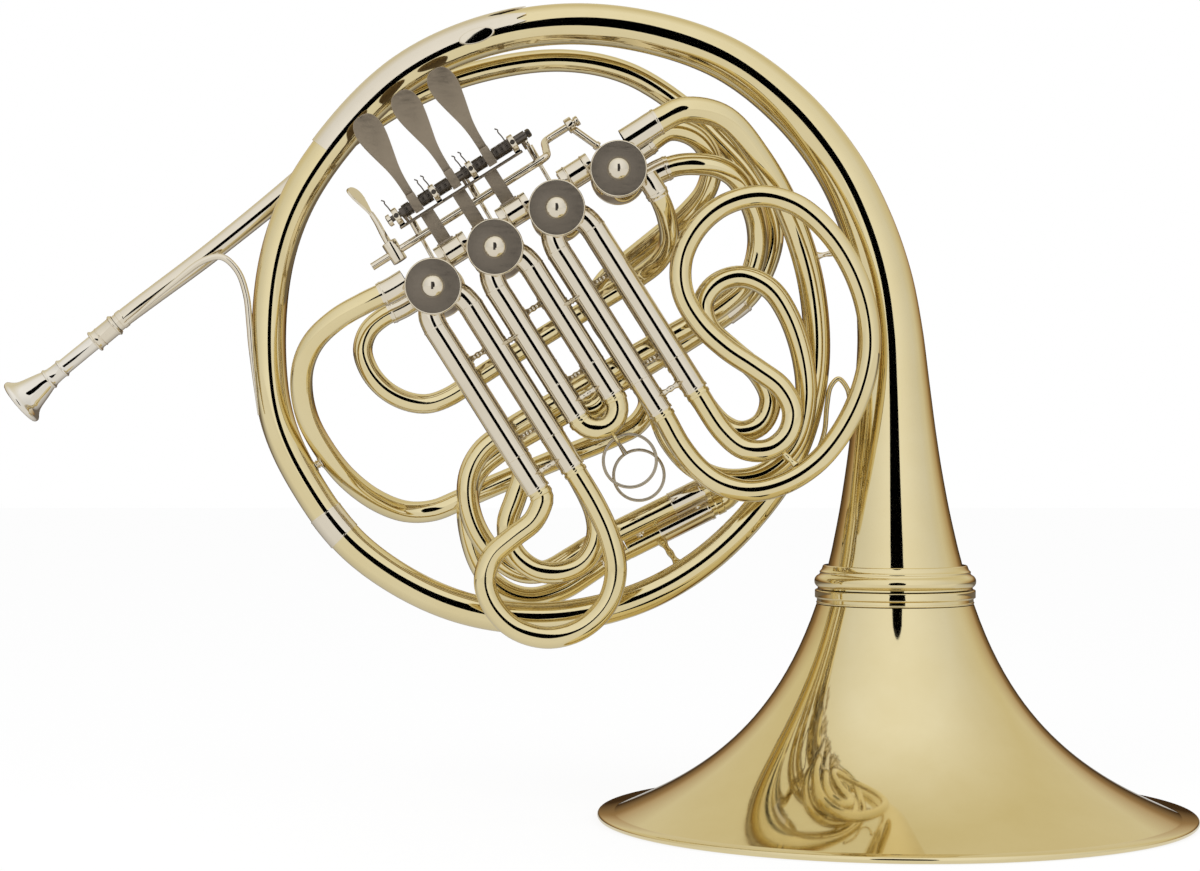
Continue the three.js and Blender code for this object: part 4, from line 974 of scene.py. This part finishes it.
def make_branches():
    for name, controls, radius in (("left", LEFT, 5.75), ("middle", MIDDLE, 5.1), ("rear", REAR, 5.75)):
        route = Route(smooth(controls))
        fit(pipe(f"{name}_drawn", route, radius, "brass"), "horn", "brass", f"{name}_branch")
        end = route.length
        spans = [(0, 15, 12.5)] if name == "rear" else [(0, 15, 12.5), (end - 12, end, end - 10.5)]
        parts = []
        for low, high, edge in spans:
            line = (edge, edge + 1.2, 0.25)
            parts.append(pipe("collar", route, radius + 0.65, "nickel", low, high, wall=0.6, sleeves=[line]))
        fit(joined(f"{name}_collars", *parts), "horn", "nickel")


# ---------------------------------------------------------------- lever work
AXLE_UP = 41.8  # the axle above the row of valves
AXLE = DECK @ shift(0, -20, AXLE_UP)
SHAFT_Y, SHAFT_UP = -8.5, 27.6  # the thumb lever's shaft
ARM_Y, ARM_UP = 17.5, 37.6  # the end of the thumb lever's arm
BEARINGS = [3.1, 25.7, 48.1, 73.3]
STRAPS = [17, 36.4, 55.5]
LEVERS = [
    {"paddle": 14.6, "tail": 5.9, "hub": (5.5, 23.9), "coils": [(7.4, 11.8), (17.4, 23.9)]},
    {"paddle": 37.4, "tail": 42, "hub": (27.5, 46.3), "coils": [(27.5, 34.6), (43.2, 46.4)]},
    {"paddle": 59, "tail": 79, "hub": (49.9, 81), "coils": [(49.9, 56.2), (61.8, 71.5)]},
]
PIN = 8.4 * math.sqrt(0.5)  # a stop arm's pin from its rotor's axis, across and up
TAIL_ARM = 38.5


def mirrored(side):
    """A closed outline from the right half of it."""
    right = [(p.x, p.y) for p in smooth([(a, b, 0) for a, b in side], 4)]
    return right + [(-a, b) for a, b in reversed(right)]


def paddle(x, place):
    """A spoon-shaped plate that rises from the hub and swells to a rounded touch."""
    side = [
        (2.2, 0), (2.25, 10), (2.5, 16), (3.3, 22), (4.7, 28), (6.1, 34), (7.1, 39), (7.5, 43), (7.2, 46.6),
        (6.1, 49.8), (4.2, 52), (1.8, 52.9),
    ]
    lean = math.radians(12.8)

    def spoon(a, b, depth):
        dip = 1.6 * math.sin(math.pi * min(1, b / 30))
        rise = b * math.sin(lean) - dip + 0.012 * a * a * min(1, b / 45)
        return (x + a, -rise + depth, b * math.cos(lean))

    return plate("paddle", mirrored(side), 1.5, place, 0.35, spoon)


def wound(low, high):
    """A close coil round the levers' hubs, between two places on the axle."""
    base = bpy.data.objects.new("base", bpy.data.meshes.new("base"))
    bpy.context.scene.collection.objects.link(base)
    length = high - low
    sizes = {"turns": length / 0.62, "coil_radius": 3.2 * MM, "length": length * MM, "wire_radius": 0.3 * MM}
    coil = COIL.run("coil", base, **sizes, material=FINISH["steel"])
    coil.data.transform(Matrix.Scale(MM, 4) @ AXLE @ shift(low) @ TO_ROW @ Matrix.Scale(1 / MM, 4))
    return coil


def socket(place, back=-0.8):
    """The ball socket at a link's end."""
    return turned("socket", drum(2.6, back, 0.8), place, 28)


def link_wire(top, bottom, nut, thick, place):
    """A link's rod: stout down to its lock nut, then thin. The nut is given by its place along it."""
    a, b = Vector(top), Vector(bottom)
    low, high = nut
    steps = [a.lerp(b, t) for t in (0, low, low + 0.01, high, high + 0.01, 1)]
    return rod("wire", steps, [1.9, 1.9, thick, thick, 1.1, 1.1], "nickel", 18, place)


def make_lever(k, lever):
    n = k + 1
    tail, touch = lever["tail"], lever["paddle"]
    arm = block("arm", (1.6, TAIL_ARM - 2, 2.8), (tail, TAIL_ARM / 2, 0), AXLE, 0.3)
    end = socket(AXLE @ shift(tail, TAIL_ARM) @ TO_ROW)
    clamp = turned("clamp", band(2.5, 3.5, -2.4, 2.4, 0.4), AXLE @ shift(touch) @ TO_ROW, 36)
    foot = block("foot", (4.8, 1.3, 10.4), (touch, -3.3, 0.6), AXLE, 0.4)
    formed = joined(f"lever_{n}_formed", paddle(touch, AXLE), clamp, foot, arm, end)
    fit(formed, f"lever_{n}", "satin", f"finger_lever_{n}")
    low, high = lever["hub"]
    barrel = turned(f"hub_{n}", band(1.9, 2.6, 0, high - low, 0.2), AXLE @ shift(low) @ TO_ROW, 36)
    fit(barrel, f"lever_{n}", "steel")
    coils = [wound(*ends) for ends in lever["coils"]]
    fit(joined(f"spring_{n}_wound", *coils), "horn", "steel", f"lever_spring_{n}")
    make_link(k, tail + 1.9)


def make_link(k, top_x):
    """A thin rod with a ball socket at each end."""
    pin_x, pin_z = k * PITCH + PIN, PIN - AXLE_UP
    top = socket(AXLE @ shift(top_x, TAIL_ARM) @ TO_ROW)
    bottom = socket(AXLE @ shift(pin_x, TAIL_ARM, pin_z) @ TO_DEPTH, -1)
    wire = link_wire((top_x, TAIL_ARM, -2), (pin_x, TAIL_ARM, pin_z + 2), (0.3, 0.36), 2.3, AXLE)
    fit(joined(f"link_{k + 1}_formed", top, bottom, wire), f"link_{k + 1}", "nickel", f"valve_link_{k + 1}")


def make_axle():
    lay = AXLE @ TO_ROW
    pin = turned("pin", drum(1.6, -1, 82.5), lay, 28)
    head = turned("head", [(0, -2.6), (2.2, -2.6), (3.2, -2.1), (3.2, -0.2), (0, -0.2)], lay, 36)
    fit(head, "horn", "steel", finish="nickel")
    nut = turned("nut", [(0, 81.6), (2.3, 81.6), (2.3, 83.4), (1.6, 84), (0, 84)], lay, 6)
    fit(joined("axle_pin", pin, nut), "horn", "steel", "lever_axle")


def make_bridge():
    """Bearings on straps that stand on the casings, with their screws and the springs' ends."""
    parts, heads = [], []
    for x in BEARINGS:
        bore = 2.9 if x > 70 else 1.9
        lay = AXLE @ shift(x - 1.5) @ TO_ROW
        parts.append(turned("bearing", band(bore, 4.4, 0, 3, 0.4), lay, 40))
        parts.append(block("leg", (3, 6, 4.6), (x, 5, -3.6), AXLE, 0.3))
        lay = AXLE @ shift(x, -4.2) @ TO_DEPTH
        heads.append(turned("grub", [(0, -0.5), (1.1, -0.5), (1.3, -0.2), (1.3, 0.4), (0, 0.4)], lay, 20))
    straps = [block("rail", (74.4, 1.4, 1.5), (38.3, 7, -5.4), AXLE, 0.2)]
    for x, foot, guided in zip(STRAPS, (16.7, 14.6, 16.7), (True, False, True)):
        low = foot - AXLE_UP
        straps.append(block("strap", (7.4, 1.3, -4.7 - low), (x, 7, (low - 4.7) / 2), AXLE, 0.25))
        straps.append(block("tab", (9.6, 2.2, 2.2), (x, 7, low + 1.1), AXLE, 0.5))
        if guided:
            lay = DECK @ shift(x - 2, SHAFT_Y, SHAFT_UP) @ TO_ROW
            parts.append(turned("guide", band(2.3, 3.9, 0, 4, 0.4), lay, 36))
    fit(joined("bridge_straps", *straps), "horn", "satin")
    fit(joined("bridge_formed", *parts), "horn", "nickel", "lever_bridge")
    fit(joined("bearing_screws", *heads), "horn", "steel")
    needles = []
    for x in (1.8, 21.8, 25.4, 44.4, 48, 70.4):
        points = [(0, -1.6, 3.1), (-0.2, -2, 6), (-0.6, -2.2, 8.6), (-0.2, -2.4, 9.4), (-1.2, -2.4, 10.8)]
        line = smooth([(x + a, b, c) for a, b, c in points], 4)
        needles.append(rod("needle", line, 0.35, "steel", 8, AXLE))
    fit(joined("spring_ends", *needles), "horn", "steel")


def make_thumb():
    """A long shaft with a leaf for the thumb at one end and a raised arm for the fourth link."""
    y, z = SHAFT_Y, SHAFT_UP
    rise = [(81, y, z), (84.5, y + 1, z + 0.4), (87, 4.5, 32.6), (89.5, 16.5, 37.2), (93, ARM_Y, ARM_UP)]
    line = [(-22, y, z), (30, y, z), *smooth(rise, 10), (110, ARM_Y, ARM_UP)]
    shaft = rod("shaft", line, 2.0, "nickel", 20, DECK)
    collar = turned("collar", band(1.7, 4.0, -5.4, 6.4, 0.5), DECK @ shift(-8, y, z), 40)
    line = smooth([(-8.2, y, z + 2), (-8.2, -7.8, 38), (-7.7, -5.4, 46), (-7.8, -4.2, 52)], 8)
    radii = [2.0 - 0.7 * i / len(line) for i in range(len(line))]
    neck = rod("neck", line, radii, "nickel", 16, DECK)
    side = [(1.2, 0), (1.5, 3), (2.6, 6.5), (4, 10), (4.8, 13.4), (4.5, 16.4), (3.1, 18.6), (1.2, 19.4)]
    lay = DECK @ shift(-7.8, -4.4, 50) @ swing(-5, "Y") @ swing(62, "Z")

    def touch(a, b, depth):
        return (a, depth + 0.004 * b * b - 0.02 * a * a, b)

    leaf = plate("touch", mirrored(side), 1.3, lay, 0.3, touch)
    knob = turned("knob", drum(2.7, 0, 2.4, 0.5), DECK @ shift(107.8, ARM_Y, ARM_UP) @ TO_ROW, 28)
    fit(joined("thumb_formed", shaft, collar, neck, leaf, knob), "thumb_lever", "nickel", "thumb_lever")
    pin_x, pin_y = 3 * PITCH + PIN, ARM_Y + 1
    ring = turned("ring", band(2.3, 4.1, 0, 4, 0.4), DECK @ shift(103, ARM_Y, ARM_UP) @ TO_ROW, 36)
    eye = socket(DECK @ shift(pin_x, pin_y, PIN) @ TO_DEPTH, -1)
    wire = link_wire((105.6, ARM_Y, 34.4), (pin_x, pin_y, PIN + 1), (0.45, 0.52), 2.4, DECK)
    fit(joined("link_4_formed", ring, eye, wire), "link_4", "nickel", "valve_link_4")


# ---------------------------------------------------------------- stays on the ring
def ring_stay(name, point, radius, other, slot, node):
    """A waisted post from the ring to another tube, by that tube's place and radius."""
    s = TAIL.nearest(point)
    ring = TAIL.at(s)
    towards = (Vector(point) - ring).normalized()
    ends = [ring + towards * (eased_tail(s) - 0.3), Vector(point) - towards * (other - 0.3)]
    shape = [radius * k for k in (1.5, 1.45, 1.1, 0.85, 0.8, 0.95, 1.05)]
    fit(post(name, ends, shape, slot), "horn", slot, node)


def make_stays():
    left = Route(smooth(LEFT))
    ring_stay("left_post", left.at(left.nearest((-141, 4, 187))), 2.3, 5.75, "nickel", "ring_stay_left")
    low = MAIN @ Vector((16, MAIN_DEPTH, MAIN_DROP))
    ring_stay("low_post", low, 1.8, 6.3, "brass", "ring_stay_bottom")
    bent = [
        (109.3, 0, 184), (113.5, 0, 191), (116.8, 0, 201), (118, 0, 214), (120, 0, 224), (124, 0, 228),
        (128.5, 0, 223), (130.5, 0, 213),
    ]
    fit(rod("hook_drawn", smooth(bent, 10), 1.3, "brass", 18), "horn", "brass", "hand_hook")
    ends = [(111.5, 0, 291.5), (129, 0, 295)]
    fit(post("tail_post", ends, [2.6, 2.4, 1.7, 1.3, 1.2, 1.5, 1.7]), "horn", "nickel")


# ---------------------------------------------------------------- studio
def light(name, location, target, size, power):
    data = bpy.data.lights.new(name, "AREA")
    data.shape = "DISK"
    data.size = size
    data.energy = power
    lamp = bpy.data.objects.new(name, data)
    lamp.location = location
    lamp.rotation_euler = (Vector(target) - Vector(location)).to_track_quat("-Z", "Y").to_euler()
    lamp.visible_glossy = False
    bpy.context.scene.collection.objects.link(lamp)


def rays(nodes, source):
    """The light path's camera and glossy marks, and X, Y and Z of a texture coordinate."""
    path = nodes.tree.nodes.new("ShaderNodeLightPath")
    marks = [Sum(nodes, path.outputs[name]) for name in ("Is Camera Ray", "Is Glossy Ray")]
    place = nodes.add("ShaderNodeTexCoord", output=source)
    parts = nodes.tree.nodes.new("ShaderNodeSeparateXYZ")
    nodes.tree.links.new(place.socket, parts.inputs[0])
    return *marks, *(Sum(nodes, socket) for socket in parts.outputs)


def studio():
    """A white tent that turns warm and then dark behind the horn, with two soft lamps."""
    scene = bpy.context.scene
    scene.view_settings.view_transform = "Standard"
    world = bpy.data.worlds.new("studio")
    scene.world = world
    world.use_nodes = True
    nodes = Nodes(world.node_tree)
    seen, gloss, side, depth, height = rays(nodes, 0)
    behind = depth.above(0.5, 0.38) * (1 - height.above(0.2, 0.18))
    tent = nodes.mix(side * side, (0.98, 0.98, 0.98), (0.74, 0.74, 0.74))
    warm = nodes.mix(depth.above(0.12, 0.38), tent, (0.72, 0.66, 0.48))
    brown = nodes.mix(behind.above(0.3, 0.3), warm, (0.4, 0.25, 0.11))
    reflected = nodes.mix(behind.above(0.72, 0.28), brown, (0.05, 0.026, 0.01))
    plain = nodes.mix(gloss, (0.86, 0.86, 0.86), reflected)
    color = nodes.mix(seen, plain, (1.0, 1.0, 1.0))
    background = nodes.add("ShaderNodeBackground", {0: color, 1: 1.0})
    nodes.add("ShaderNodeOutputWorld", {0: background})
    light("key", (-0.9, -1.2, 1.3), (0, 0, 0.2), 0.9, 7)
    light("fill", (1.1, -1.0, 0.6), (0, 0, 0.2), 0.9, 4)


def floor():
    """A pale floor that is white to the camera and keeps a faint shadow. In reflections it glows with painted
    shade that turns dark brown far back.
    """
    bm = bmesh.new()
    bmesh.ops.create_grid(bm, x_segments=1, y_segments=1, size=6)
    ground = from_bmesh("floor", bm)
    ground.location.z = -0.0002
    material, nodes = new_material("pale floor")
    seen, gloss, _, depth, _ = rays(nodes, 3)
    # painted shade for reflections: the floor glows pale near the horn and dark brown far back
    reflected = nodes.mix(depth.above(0.25, 0.35), (0.8, 0.79, 0.77), (0.1, 0.07, 0.04))
    matt = nodes.add("ShaderNodeBsdfDiffuse", {0: (0.86, 0.86, 0.86, 1)})
    tint = nodes.mix(gloss, (1.0, 1.0, 1.0), reflected)
    glow = nodes.add("ShaderNodeEmission", {0: tint, 1: 1.04})
    share = seen * 0.8 + gloss * 0.9
    surface = nodes.add("ShaderNodeMixShader", {0: share, 1: matt, 2: glow})
    nodes.add("ShaderNodeOutputMaterial", {0: surface})
    ground.data.materials.append(material)


def dark_card():
    """A dark oval that only reflections see: the gap between the studio's soft boxes."""
    bm = bmesh.new()
    bmesh.ops.create_circle(bm, cap_ends=True, segments=48, radius=1)
    place = shift(0.08, -1.38, 0.5) @ swing(-90, "X") @ Matrix.Diagonal((0.3, 0.76, 1, 1))
    bmesh.ops.transform(bm, matrix=place, verts=bm.verts)
    card = from_bmesh("camera gap", bm)
    material, nodes = new_material("camera gap")
    dark = nodes.add("ShaderNodeEmission", {0: (0.0, 0.0, 0.0, 1), 1: 1.0})
    nodes.add("ShaderNodeOutputMaterial", {0: dark})
    card.data.materials.append(material)
    for ray in ("camera", "diffuse", "shadow", "transmission", "volume_scatter"):
        setattr(card, f"visible_{ray}", False)


make_bell()
make_ring()
make_guard()
make_mouthpiece()
make_leadpipe()
for valve in range(4):
    make_valve(valve)
    make_cap(valve)
for slide in SLIDES:
    make_slide(slide)
make_pull_rings()
make_main_slide()
make_branches()
for number, lever in enumerate(LEVERS):
    make_lever(number, lever)
make_axle()
make_bridge()
make_thumb()
make_stays()
for number in range(1, 5):
    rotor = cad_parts[f"valve_rotor_{number}"]
    rotor.data.materials.clear()
    rotor.data.materials.append(FINISH["brass"])
studio()
floor()
dark_card()
